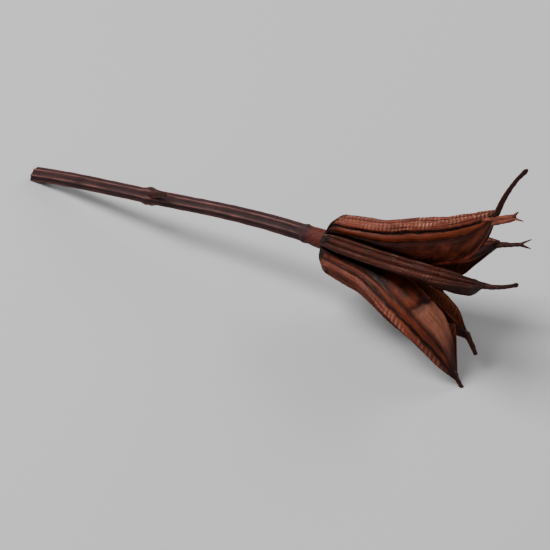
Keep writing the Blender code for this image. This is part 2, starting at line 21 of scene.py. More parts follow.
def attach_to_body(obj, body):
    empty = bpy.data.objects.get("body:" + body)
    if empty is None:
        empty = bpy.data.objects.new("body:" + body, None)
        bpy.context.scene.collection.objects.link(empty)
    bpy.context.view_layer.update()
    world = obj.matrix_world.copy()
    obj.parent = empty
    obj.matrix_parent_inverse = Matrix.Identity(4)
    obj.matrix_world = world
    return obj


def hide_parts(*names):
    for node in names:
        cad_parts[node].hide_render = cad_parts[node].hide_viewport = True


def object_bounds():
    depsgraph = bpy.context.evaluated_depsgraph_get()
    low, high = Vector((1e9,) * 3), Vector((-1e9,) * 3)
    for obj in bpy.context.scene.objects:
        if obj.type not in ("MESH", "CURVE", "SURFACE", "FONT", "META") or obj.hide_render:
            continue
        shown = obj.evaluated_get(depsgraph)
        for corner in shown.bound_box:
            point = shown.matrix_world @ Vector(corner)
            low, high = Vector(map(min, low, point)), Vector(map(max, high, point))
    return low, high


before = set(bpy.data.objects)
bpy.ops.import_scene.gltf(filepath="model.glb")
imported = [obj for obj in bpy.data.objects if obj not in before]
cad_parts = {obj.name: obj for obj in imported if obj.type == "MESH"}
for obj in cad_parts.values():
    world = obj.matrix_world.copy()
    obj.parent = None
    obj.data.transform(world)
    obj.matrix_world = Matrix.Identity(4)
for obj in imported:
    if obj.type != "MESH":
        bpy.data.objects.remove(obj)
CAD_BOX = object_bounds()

MM = 0.001
LOG = logging.getLogger("nigella")

# The net of veins slants across the flank, in the colour as in the relief, and is longest along the pouch
VEIN_SLANT = math.radians(24.0)
VEIN_STRETCH = 0.42

# Anything that can feed an input: a node's first output, a socket or a plain value
Link = bpy.types.Node | bpy.types.NodeSocket | float | tuple
Adder = Callable[..., bpy.types.Node]


class Slot(Enum):
    """The record's material slots."""

    HUSK = "husk"
    STALK = "stalk"


def linear(code: str) -> tuple[float, float, float, float]:
    """Turn an sRGB hex colour into linear light.

    Args:
        code: the colour as #RRGGBB.

    Returns:
        Red, green, blue and alpha.
    """
    parts = [int(code[i:i + 2], 16) / 255.0 for i in (1, 3, 5)]
    red, green, blue = [p / 12.92 if p <= 0.04045 else ((p + 0.055) / 1.055) ** 2.4 for p in parts]
    return (red, green, blue, 1.0)


def feed(tree: bpy.types.NodeTree, socket: bpy.types.NodeSocket, value: Link) -> None:
    """Give an input a value or a link.

    Args:
        tree: the socket's tree.
        socket: the input.
        value: a value, a socket, or a node whose first output is taken.
    """
    if isinstance(value, bpy.types.Node):
        value = next(output for output in value.outputs if output.enabled)
    if isinstance(value, bpy.types.NodeSocket):
        tree.links.new(value, socket)
    else:
        socket.default_value = value


def add_node(tree: bpy.types.NodeTree, kind: str, *values: Link | dict[str, Link],
             **settings: object) -> bpy.types.Node:
    """Add a node with its settings and links.

    Args:
        tree: the tree that gets the node.
        kind: Blender's name for the node's type, where a name without Node in it means a shader node.
        values: what feeds the inputs in use, in their order, or one dictionary of it by the inputs' names.
        settings: the node's own properties.

    Returns:
        The node.
    """
    node = tree.nodes.new(kind if "Node" in kind else f"ShaderNode{kind}")
    for name, value in settings.items():
        setattr(node, name, value)
    usable = [socket for socket in node.inputs if socket.enabled]
    if values and isinstance(values[0], dict):
        pairs = [(next(s for s in usable if s.name == name), value) for name, value in values[0].items()]
    else:
        pairs = zip(usable, values)
    for socket, value in pairs:
        feed(tree, socket, value)
    return node


def product(add: Adder, *factors: Link) -> Link:
    """Multiply fields by one another."""
    return reduce(lambda total, factor: add("Math", total, factor, operation="MULTIPLY"), factors)


def total(add: Adder, *terms: Link) -> Link:
    """Add fields to one another."""
    return reduce(lambda value, term: add("Math", value, term, operation="ADD"), terms)


def set_stops(node: bpy.types.Node, stops: dict[float, str]) -> bpy.types.Node:
    """Fill a colour ramp.

    Args:
        node: the ramp's node.
        stops: for each place from 0 to 1, a hex colour.

    Returns:
        The same node.
    """
    elements = node.color_ramp.elements
    while len(elements) > 1:
        elements.remove(elements[-1])
    for count, (place, code) in enumerate(stops.items()):
        element = elements[0] if count == 0 else elements.new(place)
        element.position = place
        element.color = linear(code)
    return node


def smoothstep(value: np.ndarray | float) -> np.ndarray:
    """Return a soft step from 0 to 1."""
    t = np.clip(value, 0.0, 1.0)
    return t * t * (3.0 - 2.0 * t)


def bell(value: np.ndarray, place: float, reach: float) -> np.ndarray:
    """Return a bell of height 1 round a place."""
    return np.exp(-((value - place) / reach) ** 2)


def along_line(points: np.ndarray) -> np.ndarray:
    """Return each point's distance along a line from its first point."""
    return np.concatenate(([0.0], np.cumsum(np.linalg.norm(np.diff(points, axis=0), axis=1))))


def link_object(name: str, mesh: bpy.types.Mesh) -> bpy.types.Object:
    """Put a mesh into the scene as an object at the origin.

    Args:
        name: the object's name.
        mesh: its mesh.

    Returns:
        The object.
    """
    thing = bpy.data.objects.new(name, mesh)
    bpy.context.scene.collection.objects.link(thing)
    return thing


def grid_mesh(name: str, rows: np.ndarray) -> bpy.types.Mesh:
    """Join rings of points by quads.

    Args:
        name: the mesh's name.
        rows: points in metres, ring by ring, as an array of rings, points and 3.

    Returns:
        The mesh, whose vertices keep the rings' order.
    """
    count, size = rows.shape[:2]
    index = np.arange(count * size).reshape(count, size)
    after = np.roll(index, -1, axis=1)
    faces = np.stack([index[:-1], after[:-1], after[1:], index[1:]], axis=-1)
    mesh = bpy.data.meshes.new(name)
    mesh.from_pydata(rows.reshape(-1, 3).tolist(), [], faces.reshape(-1, 4).tolist())
    return mesh


def set_attribute(mesh: bpy.types.Mesh, name: str, values: np.ndarray) -> None:
    """Store a number or a vector for each vertex.

    Args:
        mesh: the mesh.
        name: the attribute's name.
        values: one number, or one row of three, for each vertex.
    """
    kind, key = ("FLOAT_VECTOR", "vector") if values.ndim == 2 else ("FLOAT", "value")
    layer = mesh.attributes.new(name, kind, "POINT")
    layer.data.foreach_set(key, np.ascontiguousarray(values, dtype=np.float32).ravel())


def new_tree(name: str, inputs: dict[str, float | int | None]) -> tuple[bpy.types.NodeTree, Adder, dict]:
    """Start a Geometry Nodes tree with named inputs after its geometry.

    Args:
        name: the tree's name.
        inputs: for each input its default value, or None where it is a material.

    Returns:
        The tree, the function that adds nodes to it, and the sockets of its inputs.
    """
    tree = bpy.data.node_groups.new(name, "GeometryNodeTree")
    tree.interface.new_socket("Geometry", in_out="INPUT", socket_type="NodeSocketGeometry")
    kinds = {float: "NodeSocketFloat", int: "NodeSocketInt", type(None): "NodeSocketMaterial"}
    for label, value in inputs.items():
        socket = tree.interface.new_socket(label, in_out="INPUT", socket_type=kinds[type(value)])
        if value is not None:
            socket.default_value = value
    tree.interface.new_socket("Geometry", in_out="OUTPUT", socket_type="NodeSocketGeometry")
    given = tree.nodes.new("NodeGroupInput").outputs
    return tree, partial(add_node, tree), {socket.name: socket for socket in given}


def close_tree(add: Adder, shape: Link, materials: list[tuple[Link, Link]]) -> None:
    """End a tree by Realize Instances, its materials and its output.

    Args:
        add: adds nodes to the tree.
        shape: the last geometry.
        materials: pairs of a selection and the material that it gets, in order.
    """
    dressed = add("GeometryNodeRealizeInstances", shape)
    for chosen, material in materials:
        dressed = add("GeometryNodeSetMaterial", dressed, chosen, material)
    add("NodeGroupOutput", dressed)


def read_fields(add: Adder, *names: str, kind: str = "FLOAT") -> list[bpy.types.Node]:
    """Read attributes of the mesh in a tree.

    Args:
        add: adds nodes to the tree.
        names: the attributes' names.
        kind: their data type.

    Returns:
        A node for each.
    """
    return [add("GeometryNodeInputNamedAttribute", name, data_type=kind) for name in names]


def run_tree(thing: bpy.types.Object, tree: bpy.types.NodeTree,
             values: dict[str, object]) -> bpy.types.Object:
    """Run a Geometry Nodes tree on an object and keep the result as its plain mesh.

    Args:
        thing: the object, whose mesh is the tree's geometry.
        tree: the tree.
        values: values for its named inputs.

    Returns:
        The same object, with no modifier left.
    """
    modifier = thing.modifiers.new(tree.name, "NODES")
    modifier.node_group = tree
    sockets = {item.name: item.identifier for item in tree.interface.items_tree if item.in_out == "INPUT"}
    for label, value in values.items():
        modifier[sockets[label]] = value
    bpy.context.view_layer.update()
    graph = bpy.context.evaluated_depsgraph_get()
    result = bpy.data.meshes.new_from_object(thing.evaluated_get(graph), depsgraph=graph)
    result.name = thing.name
    thing.modifiers.clear()
    thing.data = result
    return thing


@dataclass(frozen=True)
class Finish:
    """What all surfaces here share: a dry plant skin with little shine and a fine bump.

    Real fibres and furrows are about 0.05 mm apart, too fine to show, so each finish draws them coarser.
    """

    name: str
    roughness: float
    gloss: float
    bump_strength: float
    bump_mm: float = 0.1
    ior: float = 1.5

    READS: ClassVar[tuple[str, ...]] = ("strip", "tone")

    def paint(self, add: Adder, at: dict[str, bpy.types.NodeSocket]) -> tuple[Link, Link, Link]:
        """Return the colour, the height of the bump and the roughness."""
        raise NotImplementedError

    def material(self) -> bpy.types.Material:
        """Build the material from what the finish paints and from its constant values.

        Returns:
            The material.
        """
        material = bpy.data.materials.new(self.name)
        material.use_nodes = True
        tree = material.node_tree
        add = partial(add_node, tree)
        at = {name: add("Attribute", attribute_name=name).outputs["Vector" if name == "strip" else "Fac"]
              for name in self.READS}
        colour, height, rough = self.paint(add, at)
        bump = add("Bump", {"Strength": self.bump_strength, "Distance": self.bump_mm * MM, "Height": height})
        shader = tree.nodes["Principled BSDF"]
        for label, value in (
            ("Base Color", colour), ("Roughness", rough), ("Normal", bump), ("IOR", self.ior),
            ("Specular IOR Level", self.gloss),
        ):
            feed(tree, shader.inputs[label], value)
        return material


def mix(add: Adder, colour: Link, layers: list[tuple[Link, str]], shades: list[Link] | None = None) -> Link:
    """Lay colours over a colour, and then shade the result.

    Args:
        add: adds nodes to the tree.
        colour: the colour at the bottom.
        layers: pairs of a mask and the hex colour that it lays on, in order.
        shades: fields that the result is multiplied by.

    Returns:
        The mixed colour.
    """
    for mask, code in layers:
        colour = add("Mix", mask, colour, linear(code), data_type="RGBA")
    for shade in shades or []:
        colour = add("Mix", 1.0, colour, shade, data_type="RGBA", blend_type="MULTIPLY")
    return colour


@dataclass(frozen=True)
class HuskFinish(Finish):
    """Dyed dried husk, a papery wall with fibrous ribs: satin on the ribs, near-black in its seams, partly as
    painted shade.
    """

    name: str = "dyed_dried_husk"
    roughness: float = 0.46
    gloss: float = 0.14
    bump_strength: float = 0.35
    bump_mm: float = 0.12
    ior: float = 1.48
    # The rib, groove and flank colours are partly dye and partly painted shade along the ribs, in the grooves
    # and on the flank's shadow side
    rib: str = "#3E150C"
    back: str = "#6A3020"
    powder_and_sheen: str = "#75483C"
    back_pale_and_highlight: str = "#A67460"
    groove: str = "#120403"
    second_band: str = "#5E2613"
    second_groove: str = "#280D06"
    flank: str = "#2C0D06"
    flank_glow: str = "#72341F"
    flank_dry: str = "#7E4B3A"
    plain: str = "#2A0B06"
    flank_edge: str = "#240A05"
    lip: str = "#7C3424"
    scorched_end_and_foot_shade: str = "#100403"
    film: float = 0.16
    fibre_mm: float = 0.16
    tick_mm: float = 0.6
    vein_mm: float = 1.3

    READS: ClassVar[tuple[str, ...]] = ("strip", "band", "place", "tone", "chalk_and_light", "crease", "dry", "glow")

    def paint(self, add: Adder, at: dict[str, bpy.types.NodeSocket]) -> tuple[Link, Link, Link]:
        """Mix the husk from its bands, glow, ticks, fibres, veins, blotches, dark ends and painted shade.

        Args:
            add: adds nodes to the material's tree.
            at: the attributes that the finish reads.

        Returns:
            The colour, the height of the bump and the roughness.
        """
        strip, band, place, chalk_and_light = (at[name] for name in ("strip", "band", "place", "chalk_and_light"))

        # Lines across the pouch wander a little, because the husk shrank unevenly
        wander = add("TexNoise", strip, 0.9, 2.0)
        shift = add("Math", wander, 0.5, operation="SUBTRACT")
        across = add("Math", shift, 0.9, band, operation="MULTIPLY_ADD")
        part = add("Math", across, float(Pouch.last_band), operation="DIVIDE")
        # The dark ribs and grooves and the near-black flank are partly painted shade
        stripes = set_stops(add("ValToRGB", part), {
            0.00: self.rib, 0.015: self.rib, 0.04: self.back, 0.225: self.back, 0.245: self.rib,
            0.265: self.back, 0.36: self.back, 0.4: self.groove, 0.425: self.groove, 0.445: self.second_band,
            0.545: self.second_band, 0.575: self.second_groove, 0.595: self.second_groove, 0.63: self.flank,
            0.83: self.flank, 0.91: self.flank_edge, 0.97: self.lip, 1.00: self.lip,
        })
        # Where chalk_and_light is low the stripes give way to one plain near-black: partly dye, partly painted
        # shade
        even = add("MapRange", chalk_and_light, 0.0, 0.5, 0.75, 0.0)

        # The thin middle of the flank lets light through and looks orange
        middle = add("Math", band, Pouch.flank_band, operation="SUBTRACT")
        middle = add("Math", middle, operation="ABSOLUTE")
        near = add("MapRange", middle, 2.6, 0.4, interpolation_type="SMOOTHSTEP")
        cloud = add("TexNoise", strip, 0.35, 4.0)
        glow = product(add, near, at["glow"], add("MapRange", cloud, 0.38, 0.6))

        # A powdery film and pale ticks sit on the back between the ribs, where the husk wore and shrank; they
        # also stand for painted sheen and highlights on the wrinkles' crests, strongest where chalk_and_light
        # is high
        on_back = add("MapRange", across, 4.5, 4.0)
        worn = product(add, on_back, add("MapRange", across, 0.25, 0.6), chalk_and_light)
        rungs = add("TexWave", strip, math.pi / 10.0 / self.tick_mm, 2.2, 2.0, 1.2, bands_direction="Y")
        tick = add("MapRange", rungs.outputs["Fac"], 0.35, 0.85, interpolation_type="SMOOTHSTEP")
        patch = add("TexNoise", add("Mapping", {"Vector": strip, "Scale": (0.7, 0.35, 1.0)}), 1.0, 3.0)
        ladder_and_highlight = product(add, tick, worn, add("MapRange", patch, 0.4, 0.6),
                         add("MapRange", place, 0.3, 0.65, 0.3, 1.0))

        # Fibres run along the pouch, and a net of slanting veins darkens its flank
        fibre = add("Mapping", {"Vector": strip, "Scale": (1.0 / self.fibre_mm, 0.22, 1.0)})
        fibre = add("MapRange", add("TexNoise", fibre, 1.0, 3.0), 0.3, 0.7, 0.62, 1.34)
        vein = add("Mapping", {
            "Vector": strip, "Rotation": (0.0, 0.0, VEIN_SLANT),
            "Scale": (VEIN_STRETCH / self.vein_mm, 1.0 / self.vein_mm, 1.0),
        })
        vein = add("TexVoronoi", vein, 1.0, feature="DISTANCE_TO_EDGE")
        vein = add("MapRange", vein, 0.0, 0.07, 0.84, 1.0)

        # Painted shade: where the pouches are still joined each flank lies in its neighbour's shade, and so
        # does a fold's crease; both are darkened
        deep_shade = add("MapRange", across, 6.6, 8.6, interpolation_type="SMOOTHSTEP")
        low = add("MapRange", place, 0.52, 0.34, interpolation_type="SMOOTHSTEP")
        deep_shade = add("Math", product(add, deep_shade, low), at["crease"], operation="MAXIMUM")
        blotch = add("MapRange", add("TexNoise", strip, 0.22, 5.0), 0.35, 0.65, 0.72, 1.25)
        toned = product(add, blotch, at["tone"], add("MapRange", deep_shade, 0.0, 1.0, 1.0, 0.25))

        # Near-black at the beak end, the husk's own colour, and at the foot, partly its own colour and partly
        # painted shade where it recedes into the joint
        ragged_place = add("Math", shift, 0.25, place, operation="MULTIPLY_ADD")
        end = add("MapRange", ragged_place, 0.89, 1.03, interpolation_type="SMOOTHSTEP")
        foot = add("MapRange", ragged_place, 0.07, 0.03, interpolation_type="SMOOTHSTEP")
        dark = product(add, add("Math", end, foot, operation="MAXIMUM"), 0.94)

        colour = mix(add, stripes, [
            (even, self.plain), (glow, self.flank_glow), (at["dry"], self.flank_dry),
            (product(add, worn, self.film), self.powder_and_sheen), (ladder_and_highlight, self.back_pale_and_highlight),
        ], [fibre, vein, toned])
        rough = add("MapRange", cloud, 0.3, 0.7, self.roughness - 0.1, self.roughness + 0.12)
        return mix(add, colour, [(dark, self.scorched_end_and_foot_shade)]), total(add, fibre, vein), rough


@dataclass(frozen=True)
class LiningFinish(Finish):
    """Papery lining of an opened follicle: smooth and a little shiny, with fine cross fibres."""

    name: str = "papery_lining"
    roughness: float = 0.4
    gloss: float = 0.2
    bump_strength: float = 0.3
    wall: str = "#5E3020"
    fibre: str = "#8A5238"
    deep_shade: str = "#1A0906"
    fibre_mm: float = 0.22

    READS: ClassVar[tuple[str, ...]] = ("strip", "place", "tone")

    def paint(self, add: Adder, at: dict[str, bpy.types.NodeSocket]) -> tuple[Link, Link, Link]:
        """Mix the lining, darker towards the bottom of the pouch as painted shade, and scaled by the
        follicle's tone.

        Args:
            add: adds nodes to the material's tree.
            at: the attributes that the finish reads.

        Returns:
            The colour, the height of the bump and the roughness.
        """
        fibre = add("Mapping", {"Vector": at["strip"], "Scale": (0.5, 1.0 / self.fibre_mm, 1.0)})
        fibre = add("MapRange", add("TexNoise", fibre, 1.0, 3.0), 0.35, 0.65)
        # Painted shade: the lining darkens towards the bottom of the pouch
        depth = add("MapRange", at["place"], 0.75, 0.4, 0.0, 0.7)
        colour = mix(add, linear(self.wall), [(fibre, self.fibre), (depth, self.deep_shade)], [at["tone"]])
        return colour, fibre, self.roughness


@dataclass(frozen=True)
class HornFinish(Finish):
    """Horny beak of a follicle: hard, near-black red-brown, with a dull shine and fine furrows."""

    name: str = "dried_horn"
    roughness: float = 0.5
    gloss: float = 0.16
    bump_strength: float = 0.4
    dark: str = "#1C0805"
    worn: str = "#5E2618"
    furrow_mm: float = 0.12

    def paint(self, add: Adder, at: dict[str, bpy.types.NodeSocket]) -> tuple[Link, Link, Link]:
        """Mix the horn, warmer where it starts and darkest at its tip.

        Args:
            add: adds nodes to the material's tree.
            at: the attributes that the finish reads.

        Returns:
            The colour, the height of the bump and the roughness.
        """
        furrow = add("Mapping", {"Vector": at["strip"], "Scale": (1.0 / self.furrow_mm, 0.5, 1.0)})
        furrow = add("MapRange", add("TexNoise", furrow, 1.0, 3.0), 0.35, 0.65)
        colour = mix(add, linear(self.dark), [(product(add, furrow, at["tone"]), self.worn)])
        return colour, furrow, self.roughness


# Torn edge of a seam: thin, dry and reddish, which catches the light where the horn doesn't
TORN_EDGE = HornFinish("torn_seam_edge", 0.55, 0.25, dark="#4A1C12", worn="#94503C", furrow_mm=0.16)


@dataclass(frozen=True)
class StalkFinish(Finish):
    """Dried ribbed stalk: dull grey-brown with pale worn ribs, smooth and reddish below the pod."""

    name: str = "dyed_dried_stalk"
    roughness: float = 0.6
    gloss: float = 0.16
    bump_strength: float = 0.5
    valley: str = "#180B0A"
    body: str = "#382020"
    worn: str = "#7A4E44"
    receptacle: str = "#4C1F16"
    fibre_mm: float = 0.14
    fibre_share: float = 0.45

    READS: ClassVar[tuple[str, ...]] = ("strip", "rise")

    def paint(self, add: Adder, at: dict[str, bpy.types.NodeSocket]) -> tuple[Link, Link, Link]:
        """Mix the stalk from how high each place stands on its ribs.

        Args:
            add: adds nodes to the material's tree.
            at: the attributes that the finish reads.

        Returns:
            The colour, the height of the bump and the roughness.
        """
        fibre = add("Mapping", {"Vector": at["strip"], "Scale": (1.0 / self.fibre_mm, 0.25, 1.0)})
        fibre = add("MapRange", add("TexNoise", fibre, 1.0, 4.0), 0.3, 0.7)
        level = add("Math", fibre, self.fibre_share, at["rise"], operation="MULTIPLY_ADD")
        level = add("Math", level, 1.0 + self.fibre_share, operation="DIVIDE")
        ribs = set_stops(add("ValToRGB", level), {
            0.0: self.valley, 0.35: self.body, 0.68: self.body, 1.0: self.worn,
        })
        blotch = add("MapRange", add("TexNoise", at["strip"], 0.3, 5.0), 0.35, 0.65, 0.7, 1.25)
        distance = add("SeparateXYZ", at["strip"]).outputs["Y"]
        top = add("MapRange", distance, 3.4, 1.6, interpolation_type="SMOOTHSTEP")
        return mix(add, mix(add, ribs, [], [blotch]), [(top, self.receptacle)]), fibre, self.roughness


@dataclass(frozen=True)
class GrainFinish(Finish):
    """A dry, matt plant surface of two mingled colours, such as pith, a scar or torn fibre."""

    roughness: float = 0.8
    gloss: float = 0.2
    bump_strength: float = 0.6
    first: str = "#000000"
    second: str = "#FFFFFF"
    grain_mm: float = 0.2

    READS: ClassVar[tuple[str, ...]] = ()

    def paint(self, add: Adder, at: dict[str, bpy.types.NodeSocket]) -> tuple[Link, Link, Link]:
        """Mix the two colours by one noise on object coordinates.

        Args:
            add: adds nodes to the material's tree.
            at: not used.

        Returns:
            The colour, the height of the bump and the roughness.
        """
        place = add("TexCoord").outputs["Object"]
        grain = add("MapRange", add("TexNoise", place, 1.0 / (self.grain_mm * MM), 4.0), 0.35, 0.65)
        return mix(add, linear(self.first), [(grain, self.second)]), grain, self.roughness


# Pith at the cut: pale and spongy. Scar: where pod and stem part, corky and near-black; the near-black also
# stands for painted shade in the gap at the joint and far inside the head, on the column.
PITH = GrainFinish("spongy_pith", first="#6B4A34", second="#A9825C", grain_mm=0.18)
SCAR_AND_SHADE = GrainFinish("corky_scar_and_shade", first="#0E0605", second="#26110C", grain_mm=0.2)


@dataclass
class Place:
    """Where the pod's own frame lies: +X up its axis from the joint, in millimetres."""

    joint_gap: float = 0.3
    rise: float = 3.0
    slice: float = 0.25

    def __post_init__(self) -> None:
        """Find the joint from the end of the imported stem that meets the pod."""
        ends = np.array([v.co[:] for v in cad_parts["stem"].data.vertices]) / MM
        ends = ends[ends[:, 0] > ends[:, 0].max() - self.slice]
        turn = math.radians(self.rise)
        self.joint = 0.5 * (ends.min(axis=0) + ends.max(axis=0))
        self.origin = self.joint + self.joint_gap * np.array((math.cos(turn), 0.0, math.sin(turn)))
        self.turn = np.array(Matrix.Rotation(-turn, 3, "Y"))

    def world(self, points: np.ndarray) -> np.ndarray:
        """Turn points of the pod's frame into metres on the surface, and keep them above it.

        Args:
            points: places in millimetres, with the three coordinates last.

        Returns:
            The places in metres, in the same array form.
        """
        placed = points @ self.turn.T + self.origin
        placed[..., 2] = np.maximum(placed[..., 2], 0.0)
        return placed * MM


@dataclass(frozen=True)
class Follicle:
    """Sizes of one follicle, which differ a little from one to the next as the pod dried; tone and
    chalk_and_light are partly painted light and shade.

    Lengths are in millimetres and angles in degrees. Width, depth and gap count against the full ones. Belly,
    glow_place and crease are places along the pouch, from 0 at its foot to 1 at its beak.
    """

    length: float
    spread: float
    swing: float
    width: float
    depth: float
    belly: float
    gap: float
    beak: float
    beak_bend: float
    beak_kink: float
    tone: float
    chalk_and_light: float
    glow: float
    glow_place: float
    beak_swing: float = 0.0
    prongs: int = 0
    crease: float = 0.0


# Each follicle's tone and chalk_and_light are partly its own colour and partly painted light and shade
FOLLICLES = (
    Follicle(length=26.4, spread=14.2, swing=6.0, width=1.00, depth=1.03, belly=0.82, gap=1.00, beak=10.0,
             beak_bend=-22.0, beak_kink=40.0, tone=0.96, chalk_and_light=1.0, glow=0.5, glow_place=0.86),
    Follicle(length=29.0, spread=10.8, swing=-7.0, width=0.72, depth=0.86, belly=0.74, gap=0.70, beak=5.8,
             beak_bend=-6.0, beak_kink=0.0, tone=0.66, chalk_and_light=0.1, glow=0.2, glow_place=0.6, beak_swing=24.0),
    Follicle(length=24.2, spread=12.2, swing=38.0, width=1.00, depth=1.02, belly=0.84, gap=0.95, beak=2.5,
             beak_bend=0.0, beak_kink=22.0, tone=0.9, chalk_and_light=0.4, glow=1.0, glow_place=0.55, crease=0.71),
    Follicle(length=23.4, spread=6.9, swing=-5.0, width=0.85, depth=0.76, belly=0.64, gap=0.90, beak=3.2,
             beak_bend=10.0, beak_kink=44.0, tone=1.15, chalk_and_light=0.2, glow=0.3, glow_place=0.6),
    Follicle(length=17.8, spread=11.8, swing=-27.0, width=0.78, depth=0.74, belly=0.66, gap=0.90, beak=1.4,
             beak_bend=-14.0, beak_kink=-12.0, tone=0.6, chalk_and_light=0.4, glow=0.4, glow_place=0.6),
    Follicle(length=21.9, spread=9.7, swing=-8.0, width=0.95, depth=1.00, belly=0.86, gap=1.10, beak=3.8,
             beak_bend=10.0, beak_kink=8.0, tone=0.65, chalk_and_light=0.5, glow=0.4, glow_place=0.7, beak_swing=4.0,
             prongs=2),
)


@dataclass
class Pouch:
    """One follicle's pouch: a papery shell lofted from one section along the pod's axis.

    The section is counted in bands from the rib on the back (0) over the side rib (3), a groove (5), a
    second band (6), a second groove (7) and the flank (9) to the lip of the seam (12). Its points are insets
    from the back and distances from the middle plane, in millimetres.
    """

    index: int
    kind: Follicle
    place: Place
    root_azimuth: float = -13.0
    count: int = 6
    side_rib: float = 3.0
    groove: float = 5.0
    second_groove: float = 7.0
    flank_band: float = 9.2
    last_band: int = 12
    rib_rises: tuple[float, float] = (0.10, 0.12)
    groove_depths: tuple[float, float] = (0.10, 0.05)
    shoulder_rise: float = 2.4
    shoulder_radius: float = 4.3
    body_radius: float = 6.3
    body_length: float = 13.0
    bottom_radius: float = 1.75
    spread_start: float = 0.28
    swing_start: float = 7.8
    full_depth: float = 6.2
    tip_depth: float = 0.95
    foot_width: float = 0.72
    foot_length: float = 3.84
    narrowing_start: float = 0.62
    narrowing: float = 0.68
    seam_start: float = 0.44
    seam_growth: float = 0.34
    seam_end: float = 0.14
    seam_push: float = 0.8
    lip_flare: float = 0.32
    crease_depth: float = 0.3
    crease_reach: float = 0.011
    least_side: float = 0.03
    back_wall: float = 0.5
    flank_wall: float = 0.22
    stations: int = 150
    outer_points: int = 46
    inner_points: int = 24
    start: float = 0.05
    glow_reach: float = 0.24
    profile: tuple[tuple[float, float], ...] = (
        (-0.14, 0.00), (0.10, 0.42), (0.06, 0.84), (-0.10, 1.16), (0.46, 1.45), (1.14, 1.40), (1.74, 1.62),
        (2.40, 1.62), (3.10, 1.81), (3.95, 1.87), (4.90, 1.62), (5.60, 1.24), (6.20, 0.76),
    )

    def back(self, x: np.ndarray) -> np.ndarray:
        """Shape the back.

        Args:
            x: places up the pod's axis.

        Returns:
            The distances from the axis to the back.
        """
        turn = 1.0 - np.minimum(x / self.shoulder_rise, 1.0)
        shoulder = np.sqrt(1.0 - turn * turn)
        rest = self.body_length - self.shoulder_rise
        grown = np.clip((x - self.shoulder_rise) / rest, 0.0, 1.0)
        growth = (self.body_radius - self.shoulder_radius) * grown
        swell = (self.shoulder_radius - self.bottom_radius) * shoulder + growth
        lean = np.maximum(x / self.kind.length - self.spread_start, 0.0) / (1.0 - self.spread_start)
        return self.bottom_radius + swell + (self.kind.spread - self.body_radius) * lean ** 1.6

    def depth(self, x: np.ndarray) -> np.ndarray:
        """Shape the seam's side.

        Args:
            x: places up the pod's axis.

        Returns:
            The distances from the back to the seam.
        """
        end = np.maximum(x / self.kind.length - self.kind.belly, 0.0) / (1.0 - self.kind.belly)
        taper = np.maximum(1.0 - end * end, 0.0) ** 0.8
        full = np.minimum(self.back(x) - 0.25, self.full_depth * self.kind.depth)
        return np.maximum(full * taper, self.tip_depth)

    def width(self, x: np.ndarray) -> np.ndarray:
        """Shape the width.

        Args:
            x: places up the pod's axis.

        Returns:
            The widths against the full width.
        """
        swell = self.foot_width + (1.0 - self.foot_width) * smoothstep(x / self.foot_length)
        end = np.maximum(x / self.kind.length - self.narrowing_start, 0.0) / (1.0 - self.narrowing_start)
        return self.kind.width * swell * (1.0 - self.narrowing * end ** 1.6)

    def opening(self, x: np.ndarray) -> np.ndarray:
        """Shape the open seam.

        Args:
            x: places up the pod's axis.

        Returns:
            How far the seam stands open there, from 0 to 1.
        """
        part = x / self.kind.length
        opened = smoothstep((part - self.seam_start) / self.seam_growth)
        return opened * smoothstep((1.0 - part) / self.seam_end)

    def azimuth(self, x: np.ndarray) -> np.ndarray:
        """Return the middle plane's azimuth, in radians from straight up towards -Y."""
        lean = np.maximum(x - self.swing_start, 0.0) / (self.kind.length - self.swing_start)
        return np.radians(self.root_azimuth + 60.0 * self.index + self.kind.swing * lean ** 1.3)

    def around(self, x: np.ndarray, radial: np.ndarray, lateral: np.ndarray) -> np.ndarray:
        """Turn places in the follicle's own plane into points of the pod's frame.

        Args:
            x: places up the pod's axis.
            radial: distances from the axis.
            lateral: distances from the middle plane.

        Returns:
            The points, with their coordinates last.
        """
        turn = self.azimuth(x)
        y = -np.sin(turn) * radial - np.cos(turn) * lateral
        z = np.cos(turn) * radial - np.sin(turn) * lateral
        return np.stack(np.broadcast_arrays(x, y, z), axis=-1)

    def section(self, bands: np.ndarray) -> np.ndarray:
        """Draw a smooth curve through the section's points.

        Args:
            bands: places across the pouch.

        Returns:
            Inset and lateral for each band.
        """
        table = np.array(self.profile)
        mirror = table[1:2] * np.array((1.0, -1.0))
        ahead = 2.0 * table[-1:] - table[-2:-1]
        points = np.concatenate((mirror, table, ahead))
        cell = np.minimum(bands.astype(int), self.last_band - 1)
        t = (bands - cell)[:, None]
        p0, p1, p2, p3 = (points[cell + k] for k in range(4))
        return 0.5 * (2 * p1 + (p2 - p0) * t + (2 * p0 - 5 * p1 + 4 * p2 - p3) * t ** 2
                      + (3 * p1 - p0 - 3 * p2 + p3) * t ** 3)

